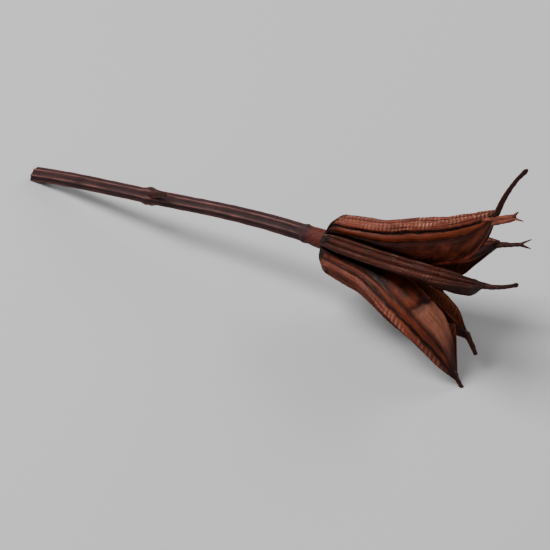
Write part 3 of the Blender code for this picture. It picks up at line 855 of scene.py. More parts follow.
    def outer(self, x: np.ndarray, bands: np.ndarray) -> tuple[np.ndarray, np.ndarray]:
        """Shape the outer face of half the pouch, which ends where its neighbour's begins.

        Args:
            x: places up the pod's axis, as a column.
            bands: places across the pouch.

        Returns:
            Distances from the axis and from the middle plane, a row for each place.
        """
        inset, lateral = self.section(bands).T
        scale = self.depth(x) / self.full_depth
        ribs, grooves = self.rib_rises, self.groove_depths
        sharp = ribs[0] * bell(bands, 0.0, 0.5) + ribs[1] * bell(bands, self.side_rib, 0.5)
        carve = grooves[0] * bell(bands, self.groove, 0.4) + grooves[1] * bell(bands, self.second_groove, 0.5)
        fade = smoothstep(x / 2.0) * smoothstep((self.kind.length - x) / 2.5)
        radial = self.back(x) - inset * scale + sharp * fade
        open_part = self.opening(x)
        push = self.seam_push * self.kind.gap * open_part * smoothstep(inset / self.full_depth - 0.25)
        flare = self.lip_flare * open_part * smoothstep((bands - 10.2) / 1.8)
        closed = 1.0 - 0.6 * (1.0 - open_part) * smoothstep((bands - 9.8) / 2.2)
        side = (lateral * self.width(x) - carve * fade) * closed + push + flare
        side = side - self.crease_depth * self.creased(x, bands)[0]
        limit = np.maximum(radial, 0.0) * math.tan(math.pi / self.count) + self.least_side
        soft = 0.06
        joined = 0.5 * (side + limit - np.sqrt((side - limit) ** 2 + soft ** 2))
        return radial, np.where(bands > 0, np.maximum(joined, self.least_side), 0.0)

    def creased(self, x: np.ndarray, bands: np.ndarray) -> tuple[np.ndarray, np.ndarray]:
        """Find where the flank is folded across, and where it dried out beyond that fold.

        Args:
            x: places up the pod's axis, as a column.
            bands: places across the pouch.

        Returns:
            Both, from 0 to 1.
        """
        crease = self.kind.crease
        past = x / self.kind.length - crease - 0.018 * (bands - 9.0) - 0.004 * np.sin(3.0 * bands)
        flank = smoothstep((bands - 6.8) / 1.6) * float(crease > 0.0)
        dry = smoothstep(past / 0.05) * smoothstep((0.3 - past) / 0.16)
        return flank * bell(past, 0.0, self.crease_reach), flank * dry

    def inner(self, x: np.ndarray, radial: np.ndarray, lateral: np.ndarray,
              bands: np.ndarray) -> tuple[np.ndarray, np.ndarray]:
        """Shape the inner face, a wall's thickness inside the outer one and less where the pouch narrows.

        Args:
            x: places up the pod's axis, as a column.
            radial: the outer face's distances from the axis.
            lateral: its distances from the middle plane.
            bands: places across the pouch.

        Returns:
            The same two distances for the inner face.
        """
        along = np.gradient(radial, axis=1), np.gradient(lateral, axis=1)
        size = np.maximum(np.hypot(*along), 1e-6)
        thinning = self.flank_wall + (self.back_wall - self.flank_wall) * smoothstep((5.5 - bands) / 1.5)
        wall = np.where(bands < 4.0, self.back_wall, thinning)
        wall = wall * (1.0 - 0.45 * smoothstep((bands - 11.0) / 1.0))
        wall = wall * np.clip(1.1 * np.minimum(self.width(x), self.depth(x) / self.full_depth), 0.2, 1.0)
        low = radial + along[1] / size * -wall
        side = lateral + along[0] / size * wall
        return low, np.maximum(side, 0.02)

    def build(self) -> bpy.types.Object:
        """Loft the pouch and store what its materials and its relief read.

        Returns:
            The pouch's object, with the attributes strip, band, place, inside, tone, chalky, glow, crease
            and dry.
        """
        kind = self.kind
        steps = np.linspace(0.0, 1.0, self.stations)
        eased = steps - 0.06 * np.sin(2.0 * math.pi * steps)
        x = (self.start + (kind.length - self.start) * eased)[:, None]
        bands = np.linspace(0.0, self.last_band, self.outer_points)
        radial, lateral = self.outer(x, bands)
        low, side = self.inner(x, radial, lateral, bands)
        picks = np.round(np.linspace(self.outer_points - 1, 0, self.inner_points)).astype(int)
        low, side = low[:, picks], side[:, picks]
        side[:, -1] = 0.0
        back = slice(-2, 0, -1)

        def ring(outer: np.ndarray, inner: np.ndarray, sign: float = 1.0) -> np.ndarray:
            """Return a whole ring from its outer and inner halves."""
            half = np.concatenate((outer, inner), axis=-1)
            return np.concatenate((half, sign * half[..., back]), axis=-1)

        ring_radial, ring_lateral = ring(radial, low), ring(lateral, side, -1.0)
        ring_band, ring_inside = ring(bands, bands[picks]), ring(np.zeros_like(bands), np.ones(len(picks)))
        name = f"follicle_{self.index + 1}"
        mesh = grid_mesh(name, self.place.world(self.around(x, ring_radial, ring_lateral)))
        size = self.outer_points + self.inner_points
        self.cap(mesh, 0, size)
        self.cap(mesh, len(steps) - 1, size)

        # Both faces of the wall carry the same pattern, so that they buckle together
        middle = len(steps) // 2
        across = np.cumsum(np.hypot(np.diff(ring_radial[middle]), np.diff(ring_lateral[middle])))
        across = np.concatenate(([0.0], across))
        lined = np.arange(self.outer_points, size)
        across[lined] = across[picks]
        across[len(across) - lined[:-1]] = across[len(across) - picks[:-1]]
        strip = np.stack(np.broadcast_arrays(across, x, 7.0 * self.index), axis=-1)
        set_attribute(mesh, "strip", strip.reshape(-1, 3))
        crease, dry = self.creased(x, ring_band)
        part = x / kind.length
        for label, values in (
            ("band", ring_band), ("inside", ring_inside), ("place", part), ("tone", kind.tone),
            ("chalk_and_light", kind.chalk_and_light), ("glow", kind.glow * bell(part, kind.glow_place, self.glow_reach)),
            ("crease", crease * (1.0 - ring_inside)), ("dry", dry * (1.0 - ring_inside)),
        ):
            set_attribute(mesh, label, np.broadcast_to(values, ring_radial.shape).ravel())
        return link_object(name, mesh)

    def cap(self, mesh: bpy.types.Mesh, row: int, size: int) -> None:
        """Close an end of the shell by triangles between its outer and its inner line.

        Args:
            mesh: the lofted shell.
            row: the ring to close, the first or the last.
            size: how many points half a ring has.
        """
        count = 2 * size - 2
        start = row * count
        outer, inner = self.outer_points, self.inner_points
        shape = bmesh.new()
        shape.from_mesh(mesh)
        shape.verts.ensure_lookup_table()
        right = [start + i for i in range(size)]
        left = [start] + [start + count - i for i in range(1, size - 1)] + [start + size - 1]
        for half, flip in ((right, row > 0), (left, row == 0)):
            near, far = half[:outer], half[:outer - 1:-1]
            i = j = 0
            while i < outer - 1 or j < inner - 1:
                step = j == inner - 1 or (i < outer - 1 and (i + 1) / (outer - 1) <= (j + 1) / (inner - 1))
                third = near[i + 1] if step else far[j + 1]
                corners = [shape.verts[v] for v in (near[i], third, far[j])]
                shape.faces.new(corners if flip else corners[::-1])
                i, j = i + step, j + (not step)
        shape.to_mesh(mesh)
        shape.free()


def relief_tree() -> bpy.types.NodeTree:
    """Build the tree that gives a pouch the relief it dried into, and its two materials.

    Returns:
        The tree, which reads the attributes strip, band, place and inside.
    """
    tree, add, value = new_tree("dried_husk_relief", {
        "Wrinkle spacing": 0.8, "Wrinkle height": 0.000022, "Vein spacing": 1.3, "Vein height": 0.000035,
        "Buckle size": 3.2, "Buckle height": 0.00011, "Husk": None, "Lining": None,
    })
    strip, = read_fields(add, "strip", kind="FLOAT_VECTOR")
    band, inside, place = read_fields(add, "band", "inside", "place")

    # Cross wrinkles on the back, short along the pouch and long across it
    spacing = add("Math", 1.0, value["Wrinkle spacing"], operation="DIVIDE")
    across = add("VectorMath", strip, add("CombineXYZ", 0.55, spacing, 1.0), operation="MULTIPLY")
    wrinkle = add("MapRange", add("TexNoise", across, 1.0, 2.0), 0.35, 0.65, -1.0, 1.0)
    on_back = add("MapRange", band, 7.5, 2.0, 0.15, 1.0)
    wrinkle = product(add, wrinkle, on_back, value["Wrinkle height"])

    # A raised net of veins on the flank
    turned = add("VectorRotate", {"Vector": strip, "Angle": VEIN_SLANT}, rotation_type="Z_AXIS")
    pace = add("Math", 1.0, value["Vein spacing"], operation="DIVIDE")
    stretch = add("CombineXYZ", product(add, pace, VEIN_STRETCH), pace, 1.0)
    net = add("VectorMath", turned, stretch, operation="MULTIPLY")
    vein = add("TexVoronoi", net, 1.0, feature="DISTANCE_TO_EDGE")
    vein = add("MapRange", vein, 0.16, 0.0, interpolation_type="SMOOTHSTEP")
    vein = product(add, vein, add("MapRange", band, 6.5, 8.5), value["Vein height"])

    # The wall buckles between its ribs, more towards the open end, and calms down into the beak
    pace = add("Math", 1.0, value["Buckle size"], operation="DIVIDE")
    buckle = add("MapRange", add("TexNoise", strip, pace, 2.0), 0.3, 0.7, -1.0, 1.0)
    grows = add("MapRange", place, 0.1, 0.6, 0.25, 1.0)
    flip = add("MapRange", inside, 0.0, 1.0, 1.0, -1.0)
    buckle = product(add, buckle, grows, value["Buckle height"], flip)

    outside = add("Math", 1.0, inside, operation="SUBTRACT")
    height = total(add, product(add, total(add, wrinkle, vein), outside), buckle)
    height = product(add, height, add("MapRange", place, 1.0, 0.9))
    push = add("VectorMath", add("GeometryNodeInputNormal"), height, operation="SCALE")
    moved = add("GeometryNodeSetPosition", {"Geometry": value["Geometry"], "Offset": push})

    # The wall is thinnest along its back near the beak, where the husk goes right through it
    thick = add("MapRange", place, 0.5, 0.45)
    papery = add("Math", add("MapRange", band, 5.0, 6.0), thick, operation="MAXIMUM")
    lined = product(add, inside, papery)
    within = add("FunctionNodeCompare", lined, 0.5, data_type="FLOAT", operation="GREATER_THAN")
    close_tree(add, moved, [(True, value["Husk"]), (within, value["Lining"])])
    return tree


def store(add: Adder, shape: Link, name: str, value: Link, kind: str = "FLOAT") -> bpy.types.Node:
    """Return a geometry that carries a field under a name."""
    given = {"Geometry": shape, "Name": name, "Value": value}
    return add("GeometryNodeStoreNamedAttribute", given, data_type=kind)


def sweep(add: Adder, line: Link, sides: Link) -> tuple[bpy.types.Node, bpy.types.Node, bpy.types.Node]:
    """Add the nodes that sweep a round profile along a line of points.

    Args:
        add: adds nodes to the tree.
        line: geometry of one line of points in their order.
        sides: how many points go round.

    Returns:
        The swept node, and the fields of the line's middle and of the turn round it in radians.
    """
    path = add("GeometryNodeMeshToCurve", {"Mesh": line})
    path = store(add, path, "centre", add("GeometryNodeInputPosition"), "FLOAT_VECTOR")
    round_profile = add("GeometryNodeCurvePrimitiveCircle", {"Resolution": sides, "Radius": MM})
    turn = product(add, add("GeometryNodeSplineParameter").outputs["Factor"], 2.0 * math.pi)
    round_profile = store(add, round_profile, "turn", turn)
    swept = add("GeometryNodeCurveToMesh", {"Curve": path, "Profile Curve": round_profile})
    return swept, *read_fields(add, "centre", kind="FLOAT_VECTOR"), *read_fields(add, "turn")


def horn_tree() -> bpy.types.NodeTree:
    """Build the tree that sweeps a furrowed, slightly flattened horn along a line of points.

    Returns:
        The tree, which reads the attributes girth and distance.
    """
    tree, add, value = new_tree("furrowed_horn", {
        "Sides": 20, "Furrows": 3.0, "Furrow depth": 0.12, "Flatness": 0.2, "Twist": 0.25, "Seed": 0.0,
        "Material": None,
    })
    swept, centre, angle = sweep(add, value["Geometry"], value["Sides"])
    girth, distance = read_fields(add, "girth", "distance")
    position = add("GeometryNodeInputPosition")
    spoke = add("VectorMath", position, centre, operation="SUBTRACT")
    spoke = add("VectorMath", spoke, operation="NORMALIZE")

    # Furrows run round by count and twist slowly along the horn
    drift = add("Math", distance, value["Twist"], value["Seed"], operation="MULTIPLY_ADD")
    waves = []
    for times, height in ((value["Furrows"], value["Furrow depth"]), (2.0, value["Flatness"])):
        phase = add("Math", angle, times, drift, operation="MULTIPLY_ADD")
        waves.append(product(add, add("Math", phase, operation="COSINE"), height))

    # Small knots and shrinkage
    spot = add("VectorMath", position, (1.0 / MM, 1.0 / MM, 1.0 / MM), operation="MULTIPLY")
    knots = add("MapRange", add("TexNoise", spot, 1.6, 3.0), 0.3, 0.7, -0.16, 0.16)
    reach = product(add, total(add, *waves, knots, 1.0), girth)
    offset = add("VectorMath", spoke, reach, operation="SCALE")
    target = add("VectorMath", centre, offset, operation="ADD")
    shaped = add("GeometryNodeSetPosition", {"Geometry": swept, "Position": target})
    strip = add("CombineXYZ", product(add, angle, 0.5), distance, value["Seed"])
    close_tree(add, store(add, shaped, "strip", strip, "FLOAT_VECTOR"), [(True, value["Material"])])
    return tree


def stalk_tree() -> bpy.types.NodeTree:
    """Build the tree that sweeps the ribbed stalk along its path.

    Returns:
        The tree, which reads the attributes girth, ribbing, slant, distance and ahead.
    """
    tree, add, value = new_tree("ribbed_stalk", {
        "Sides": 112, "Ribs": 7.0, "Rib rise": 0.085, "Fine ribs": 28.0, "Fine rise": 0.016, "Crumple": 0.03,
        "Material": None,
    })
    swept, centre, angle = sweep(add, value["Geometry"], value["Sides"])
    girth, ribbing, slant, distance = read_fields(add, "girth", "ribbing", "slant", "distance")
    ahead, = read_fields(add, "ahead", kind="FLOAT_VECTOR")
    side = add("VectorMath", (0.0, 0.0, 1.0), ahead, operation="CROSS_PRODUCT")
    side = add("VectorMath", side, operation="NORMALIZE")
    above = add("VectorMath", ahead, side, operation="CROSS_PRODUCT")
    cosine = add("Math", angle, operation="COSINE")
    sine = add("Math", angle, operation="SINE")
    right = add("VectorMath", side, cosine, operation="SCALE")
    up = add("VectorMath", above, sine, operation="SCALE")
    spoke = add("VectorMath", right, up, operation="ADD")

    # Ribs are narrower than the valleys between them
    wave = add("Math", product(add, angle, value["Ribs"]), operation="COSINE")
    crest = add("Math", add("MapRange", wave, -1.0, 1.0), 1.8, operation="POWER")
    rib = product(add, add("MapRange", crest, 0.0, 1.0, -1.0, 1.0), value["Rib rise"])
    fine = add("Math", product(add, angle, value["Fine ribs"]), operation="COSINE")
    relief = product(add, total(add, rib, product(add, fine, value["Fine rise"])), ribbing)
    spot = add("VectorMath", add("CombineXYZ", cosine, sine, distance), (1.4, 1.4, 0.5), operation="MULTIPLY")
    crumple = add("MapRange", add("TexNoise", spot, 1.0, 4.0), 0.3, 0.7, -1.0, 1.0)
    crumple = product(add, crumple, value["Crumple"])
    reach = product(add, total(add, relief, crumple, 1.0), girth)
    offset = add("VectorMath", spoke, reach, operation="SCALE")
    shear = add("VectorMath", ahead, product(add, sine, slant), operation="SCALE")
    target = add("VectorMath", centre, offset, operation="ADD")
    target = add("VectorMath", target, shear, operation="ADD")
    shaped = add("GeometryNodeSetPosition", {"Geometry": swept, "Position": target})
    strip = add("CombineXYZ", product(add, angle, 1.1), distance)
    shaped = store(add, shaped, "strip", strip, "FLOAT_VECTOR")
    shaped = store(add, shaped, "rise", product(add, crest, ribbing))
    close_tree(add, shaped, [(True, value["Material"])])
    return tree


def bristle_tree() -> bpy.types.NodeTree:
    """Build the tree that sets a small cone on each point, such as a torn fibre or the stump of a stamen.

    Returns:
        The tree, which reads the attribute ahead, the direction in which a cone stands.
    """
    tree, add, value = new_tree("stumps_and_fibres", {
        "Length": 0.0005, "Root radius": 0.00006, "Tip radius": 0.00002, "Least size": 0.6, "Seed": 1,
        "Material": None,
    })
    cone = add("GeometryNodeMeshCone", {
        "Vertices": 6, "Side Segments": 2, "Radius Top": value["Tip radius"],
        "Radius Bottom": value["Root radius"], "Depth": value["Length"],
    })
    ahead, = read_fields(add, "ahead", kind="FLOAT_VECTOR")
    turn = add("FunctionNodeAlignRotationToVector", {"Vector": ahead}, axis="Z")
    size = add("FunctionNodeRandomValue", {"Min": value["Least size"], "Max": 1.0, "Seed": value["Seed"]},
               data_type="FLOAT")
    copies = add("GeometryNodeInstanceOnPoints", {
        "Points": value["Geometry"], "Instance": cone, "Rotation": turn, "Scale": size,
    })
    close_tree(add, copies, [(True, value["Material"])])
    return tree


def line_object(name: str, points: np.ndarray, **values: np.ndarray) -> bpy.types.Object:
    """Make a line of points, in metres, that carries values for a tree.

    Args:
        name: the object's name.
        points: the points, one row each.
        values: for each attribute, one number or one row of three for each point.

    Returns:
        The object, whose mesh has the points and the edges between them.
    """
    mesh = bpy.data.meshes.new(name)
    mesh.from_pydata(points.tolist(), [(i, i + 1) for i in range(len(points) - 1)], [])
    for key, numbers in values.items():
        set_attribute(mesh, key, numbers)
    return link_object(name, mesh)


def close_ends(mesh: bpy.types.Mesh) -> None:
    """Fill each open end of a tube with one face and turn all faces outwards.

    Args:
        mesh: the mesh, which is changed.
    """
    shape = bmesh.new()
    shape.from_mesh(mesh)
    rim = [edge for edge in shape.edges if edge.is_boundary]
    if rim:
        bmesh.ops.holes_fill(shape, edges=rim, sides=0)
    bmesh.ops.recalc_face_normals(shape, faces=shape.faces[:])
    shape.to_mesh(mesh)
    shape.free()


def join_meshes(name: str, things: list[bpy.types.Object]) -> bpy.types.Object:
    """Put the meshes of several objects into the first one, with their attributes and materials.

    Args:
        name: the name of the result.
        things: the objects, all at the origin.

    Returns:
        The first object under its new name.
    """
    if len(things) > 1:
        with bpy.context.temp_override(active_object=things[0], selected_editable_objects=things):
            bpy.ops.object.join()
    things[0].name = name
    things[0].data.name = name
    return things[0]


def settle(mesh: bpy.types.Mesh) -> None:
    """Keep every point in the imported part's box, whose floor leaves the flat spots that the pod rests on.

    Args:
        mesh: the mesh, which is changed.
    """
    places = np.empty(3 * len(mesh.vertices), dtype=np.float32)
    mesh.vertices.foreach_get("co", places)
    low, high = (np.array(corner, dtype=np.float32) for corner in CAD_BOX)
    mesh.vertices.foreach_set("co", np.clip(places.reshape(-1, 3), low, high).ravel())


def smooth(thing: bpy.types.Object, degrees: float = 55.0) -> bpy.types.Object:
    """Shade a piece smooth up to an edge angle.

    Args:
        thing: the piece.
        degrees: the angle past which an edge stays sharp.

    Returns:
        The same piece.
    """
    thing.data.shade_smooth()
    thing.data.set_sharp_from_angle(angle=math.radians(degrees))
    return thing


@dataclass
class Beaks:
    """The horny beak at the end of each follicle, its torn points, and the torn lip of the top follicle."""

    pouches: list[Pouch]
    place: Place
    material: bpy.types.Material
    lip_material: bpy.types.Material
    shape: bpy.types.NodeTree
    sink: float = 3.0
    inset: float = 0.58
    exit: float = 0.3
    steps: int = 44
    root_steps: int = 18
    root_radius: float = 0.44
    shaft_radius: float = 0.26
    knob: float = 0.05
    prong_lean: float = 34.0
    prong_radius: float = 0.24
    prong_length: float = 1.6
    prong_sink: float = 0.5
    lip_start: float = 2.6
    lip_reach: float = 3.1
    lip_radius: float = 0.56
    lip_leans: tuple[float, float] = (-30.0, 26.0)

    def path(self, pouch: Pouch) -> tuple[np.ndarray, np.ndarray, np.ndarray]:
        """Find a beak's middle line, which leaves along the follicle's back and then bends.

        Args:
            pouch: the follicle's pouch.

        Returns:
            The line's points in millimetres of the pod's frame, its distance along, and its last heading.
        """
        kind = pouch.kind
        x = np.linspace(kind.length - self.sink, kind.length - self.exit, self.root_steps)
        root = pouch.around(x, pouch.back(x) - self.inset, np.zeros_like(x))
        turn = float(pouch.azimuth(np.array(kind.length)))
        out = Vector((0.0, -math.sin(turn), math.cos(turn)))
        along = Vector(root[-1] - root[-2]).normalized()
        side = along.cross(out).normalized()
        heading = Matrix.Rotation(math.radians(kind.beak_kink), 3, side) @ along
        points = [Vector(p) for p in root]
        for _ in range(self.steps):
            points.append(points[-1] + heading * (kind.beak / self.steps))
            heading = Matrix.Rotation(math.radians(kind.beak_bend / self.steps), 3, side) @ heading
            heading = Matrix.Rotation(math.radians(kind.beak_swing / self.steps), 3, out) @ heading
        line = np.array([p[:] for p in points])
        return line, along_line(line), np.array(heading[:])

    def horn(self, name: str, line: np.ndarray, girth: np.ndarray, tone: float, seed: float,
             material: bpy.types.Material, flatness: float = 0.12) -> bpy.types.Object:
        """Sweep one horn along a line.

        Args:
            name: the object's name.
            line: points in millimetres of the pod's frame.
            girth: radius at each point, in millimetres.
            tone: how worn and warm it is, from 0 to 1.
            seed: shifts its furrows and its grain.
            material: its material.
            flatness: how oval it is.

        Returns:
            The horn, closed at both ends.
        """
        distance = along_line(line)
        worn = tone * (1.0 - 0.6 * distance / distance[-1])
        thing = line_object(name, self.place.world(line), girth=girth * MM, distance=distance, tone=worn)
        run_tree(thing, self.shape, {"Flatness": flatness, "Seed": seed, "Material": material})
        settle(thing.data)
        close_ends(thing.data)
        return smooth(thing)

    def build(self) -> list[bpy.types.Object]:
        """Build the beaks, with the torn points and the torn lip on theirs.

        Returns:
            One object for each follicle.
        """
        pieces = []
        for pouch in self.pouches:
            kind = pouch.kind
            line, distance, heading = self.path(pouch)
            free = np.clip((distance - self.sink) / kind.beak, 0.0, 1.0)
            grow = smoothstep(0.35 + 0.65 * distance / self.sink)
            girth = (self.shaft_radius + (self.root_radius - self.shaft_radius) * (1.0 - free) ** 2.0) * grow
            girth = girth + self.knob * smoothstep((free - 0.86) / 0.1)
            girth[-3:] *= (0.93, 0.75, 0.4)
            name = f"beak_{pouch.index + 1}"
            # The beak's worn colour follows its follicle's tone, which is partly painted light and shade
            parts = [self.horn(name, line, girth, 0.7 * kind.tone, pouch.index, self.material)]
            parts += self.prongs(pouch, line[-1], heading)
            if pouch.index == 0:
                parts += self.torn_lip(pouch)
            pieces.append(join_meshes(name, parts))
        return pieces

    def prongs(self, pouch: Pouch, tip: np.ndarray, heading: np.ndarray) -> list[bpy.types.Object]:
        """Build the torn points at a beak's end.

        Args:
            pouch: the follicle's pouch.
            tip: the beak's end in the pod's frame.
            heading: the beak's direction there.

        Returns:
            The points.
        """
        turn = float(pouch.azimuth(np.array(pouch.kind.length)))
        across = Vector((0.0, -math.cos(turn), -math.sin(turn)))
        ahead = Vector(heading)
        hinge = ahead.cross(across).normalized()
        parts = []
        for prong in range(pouch.kind.prongs):
            lean = self.prong_lean * (2.0 * prong - (pouch.kind.prongs - 1))
            parts.append(self.point(f"prong_{prong}", tip, ahead, hinge, lean, prong, self.material))
        return parts

    def point(self, name: str, tip: np.ndarray, ahead: Vector, hinge: Vector, lean: float, seed: float,
              material: bpy.types.Material) -> bpy.types.Object:
        """Build one torn point.

        Args:
            name: the object's name.
            tip: the place that it leaves, in the pod's frame.
            ahead: the direction of what it leaves.
            hinge: the axis that it is turned round.
            lean: by how many degrees.
            seed: shifts its grain.
            material: its material.

        Returns:
            The point, a short horn.
        """
        heading = np.array((Matrix.Rotation(math.radians(lean), 3, hinge) @ ahead)[:])
        root = tip - np.array(ahead[:]) * self.prong_sink
        f = np.linspace(0.0, 1.0, 14)[:, None]
        line = root + heading * self.prong_length * f + np.array(ahead[:]) * 0.25 * f * f
        girth = self.prong_radius * (1.0 - 0.72 * f[:, 0] ** 1.5)
        return self.horn(name, line, girth, 0.8, seed, material, 0.25)

    def torn_lip(self, pouch: Pouch) -> list[bpy.types.Object]:
        """Build the torn end of the seam's edge, a flat reddish strap that forks.

        Args:
            pouch: the follicle's pouch.

        Returns:
            The strap and its two points.
        """
        kind = pouch.kind
        start = kind.length - self.lip_start
        spots = []
        for x, raise_by, lateral in ((start, -0.9, 0.2), (kind.length + self.lip_reach, 0.5, 0.7)):
            x = np.array([x])
            level = pouch.back(np.minimum(x, kind.length))
            flat = pouch.around(x, level + raise_by, np.array([lateral]))
            spots.append(flat[0])
        base, tip = spots
        middle = base + (tip - base) * 0.45 - np.array((0.0, 0.0, 0.25))
        f = np.linspace(0.0, 1.0, 30)[:, None]
        line = base * (1 - f) ** 2 + (2.0 * middle - 0.5 * (base + tip)) * 2 * f * (1 - f) + tip * f ** 2
        girth = self.lip_radius - 0.2 * f[:, 0]
        parts = [self.horn("torn_lip", line, girth, 1.0, 9.0, self.lip_material, 0.35)]
        ahead = Vector(tip - middle).normalized()
        for count, lean in enumerate(self.lip_leans):
            parts.append(self.point(f"torn_point_{count}", tip, ahead, Vector((0.0, -1.0, 0.0)), lean,
                                    20.0 + count, self.lip_material))
        return parts


@dataclass
class Stem:
    """The ribbed stalk with its receptacle, petal scar, leaf knot and slanted cut."""

    place: Place
    material: bpy.types.Material
    pith: bpy.types.Material
    horn: bpy.types.Material
    horn_shape: bpy.types.NodeTree
    bristles: bpy.types.NodeTree
    length: float = 50.0
    steps: int = 96
    finer: int = 4
    sides: int = 112
    radius_cut: float = 1.02
    radius_top: float = 1.16
    receptacle: float = 1.40
    collar_place: float = 3.3
    collar_rise: float = 0.14
    collar_length: float = 0.32
    knot_place: float = 29.0
    knot_rise: float = 0.26
    knot_length: float = 1.5
    end_rise: float = 16.4
    cut_slant: float = 24.0
    cut_stretch: float = 0.07
    cut_rings: tuple[tuple[float, float], ...] = (
        (1.0, -0.03), (0.96, -0.07), (0.9, -0.05), (0.84, -0.02), (0.76, -0.03), (0.62, 0.0), (0.48, 0.01),
        (0.36, 0.0), (0.27, 0.03), (0.18, 0.1), (0.08, 0.12),
    )
    stub_length: float = 5.0
    stub_radius: float = 0.33
    stump_rows: int = 6
    stumps_round: int = 8
    stump_start: float = 0.75
    stump_pace: float = 0.42
    stump_turn: float = 0.35
    fibre_count: int = 26
    fibre_lean: float = 0.28
    fibre_floor: float = 0.4

    def path(self) -> tuple[np.ndarray, np.ndarray, np.ndarray]:
        """Follow the stem's middle line from the joint back to the cut end.

        Returns:
            Distances from the joint in millimetres, points in metres and headings towards the pod.
        """
        points, headings = [], []
        spot = self.place.joint.copy()
        stride = self.length / self.steps
        for i in range(self.steps + 1):
            f = i / self.steps
            climb = math.radians(self.place.rise + (self.end_rise - self.place.rise) * f ** 0.8)
            sway = math.radians(2.6 * math.sin(5.2 * f) - 1.0 * math.sin(11.0 * f))
            heading = np.array((math.cos(climb) * math.cos(sway), math.sin(sway), math.sin(climb)))
            points.append(spot)
            headings.append(heading)
            spot = spot - heading * stride
        coarse = np.linspace(0.0, self.length, self.steps + 1)
        fine = np.linspace(0.0, self.length, self.steps * self.finer + 1)
        line = np.stack([np.interp(fine, coarse, np.array(points)[:, k]) for k in range(3)], axis=-1)
        ahead = np.stack([np.interp(fine, coarse, np.array(headings)[:, k]) for k in range(3)], axis=-1)
        return fine, line * MM, ahead / np.linalg.norm(ahead, axis=1)[:, None]

    def radius(self, distance: np.ndarray) -> tuple[np.ndarray, np.ndarray]:
        """Shape the stem.

        Args:
            distance: distances from the joint.

        Returns:
            The radii, and how strongly the stem is ribbed there.
        """
        thinner = smoothstep(2.0 * distance / self.length)
        shaft = self.radius_top + (self.radius_cut - self.radius_top) * thinner
        flare = (self.receptacle - shaft) * (1.0 - smoothstep(distance / (1.5 * self.collar_place)))
        collar = self.collar_rise * bell(distance, self.collar_place, self.collar_length)
        knot = self.knot_rise * bell(distance, self.knot_place, 0.5 * self.knot_length)
        ribbing = smoothstep((distance - 0.6 * self.collar_place) / 3.0)
        return shaft + flare + collar + knot, ribbing

    def build(self) -> list[bpy.types.Object]:
        """Build the stalk and what sits on it.

        Returns:
            The pieces.
        """
        distance, line, ahead = self.path()
        radius, ribbing = self.radius(distance)
        near_cut = smoothstep((distance / self.length - 1.0 + self.cut_stretch) / self.cut_stretch)
        slant = math.tan(math.radians(self.cut_slant)) * near_cut * radius * MM
        stalk = line_object("stalk", line, girth=radius * MM, ribbing=ribbing, slant=slant, distance=distance,
                            ahead=ahead)
        run_tree(stalk, stalk_tree(), {"Sides": self.sides, "Material": self.material})
        rim = self.cut_rim(stalk.data)
        settle(stalk.data)
        close_ends(stalk.data)
        smooth(stalk)
        pieces = [stalk, self.cut_face(rim, ahead[-1]), self.leaf_stub(distance, line, ahead),
                  self.stamen_stumps(distance, line, ahead), self.cut_fibres(rim, ahead[-1])]
        for piece in pieces[1:]:
            settle(piece.data)
        return pieces

    def cut_rim(self, mesh: bpy.types.Mesh) -> np.ndarray:
        """Read the cut end of the swept stalk.

        Args:
            mesh: the stalk's mesh, before its ends are closed.

        Returns:
            Its last ring, in metres and above the floor.
        """
        points = np.array([vertex.co[:] for vertex in mesh.vertices[-self.sides:]])
        points[:, 2] = np.maximum(points[:, 2], 0.0)
        return points

    def cut_face(self, rim: np.ndarray, ahead: np.ndarray) -> bpy.types.Object:
        """Build the cut face: a hard rind, a ring of bundles and pith that shrank back to a small hollow.

        Args:
            rim: the stalk's last ring, in metres.
            ahead: the stem's heading there.

        Returns:
            The face, which stands a hair outside the stalk's own end.
        """
        rng = np.random.default_rng(11)
        centre = rim.mean(axis=0)
        rings = []
        for part, sunk in self.cut_rings:
            rough = rng.normal(0.0, 0.014 if 0.1 < part < 0.98 else 0.004, len(rim))[:, None]
            rings.append(centre + (rim - centre) * part - ahead * (rough - sunk * 0.6 + 0.03) * MM)
        mesh = grid_mesh("cut_face", np.array(rings))
        mesh.materials.append(self.pith)
        close_ends(mesh)
        return smooth(link_object("cut_face", mesh), 80.0)

    def leaf_stub(self, distance: np.ndarray, line: np.ndarray, ahead: np.ndarray) -> bpy.types.Object:
        """Build the broken foot of a thread-like leaf on the knot.

        Args:
            distance: distances from the joint.
            line: the stem's middle line there, in metres.
            ahead: its headings.

        Returns:
            The stub.
        """
        index = int(np.argmin(np.abs(distance - self.knot_place)))
        heading = Vector(ahead[index])
        side = Vector((0.0, 0.0, 1.0)).cross(heading).normalized()
        out = np.array((heading.cross(side) * 0.8 - side * 0.6).normalized()[:])
        f = np.linspace(0.0, 1.0, 36)[:, None]
        reach = (ahead[index] * f * 0.92 + out * (0.62 * f - 0.12 * f * f)) * self.stub_length
        points = line[index] + (out * 0.5 + reach) * MM
        girth = self.stub_radius * (1.35 - 0.5 * f[:, 0]) * MM
        girth[-3:] *= (0.9, 0.7, 0.35)
        thing = line_object("leaf_stub", points, girth=girth, distance=f[:, 0] * self.stub_length,
                            tone=0.5 - 0.3 * f[:, 0])
        run_tree(thing, self.horn_shape,
                 {"Flatness": 0.25, "Furrows": 5.0, "Seed": 3.0, "Material": self.horn})
        close_ends(thing.data)
        return smooth(thing)

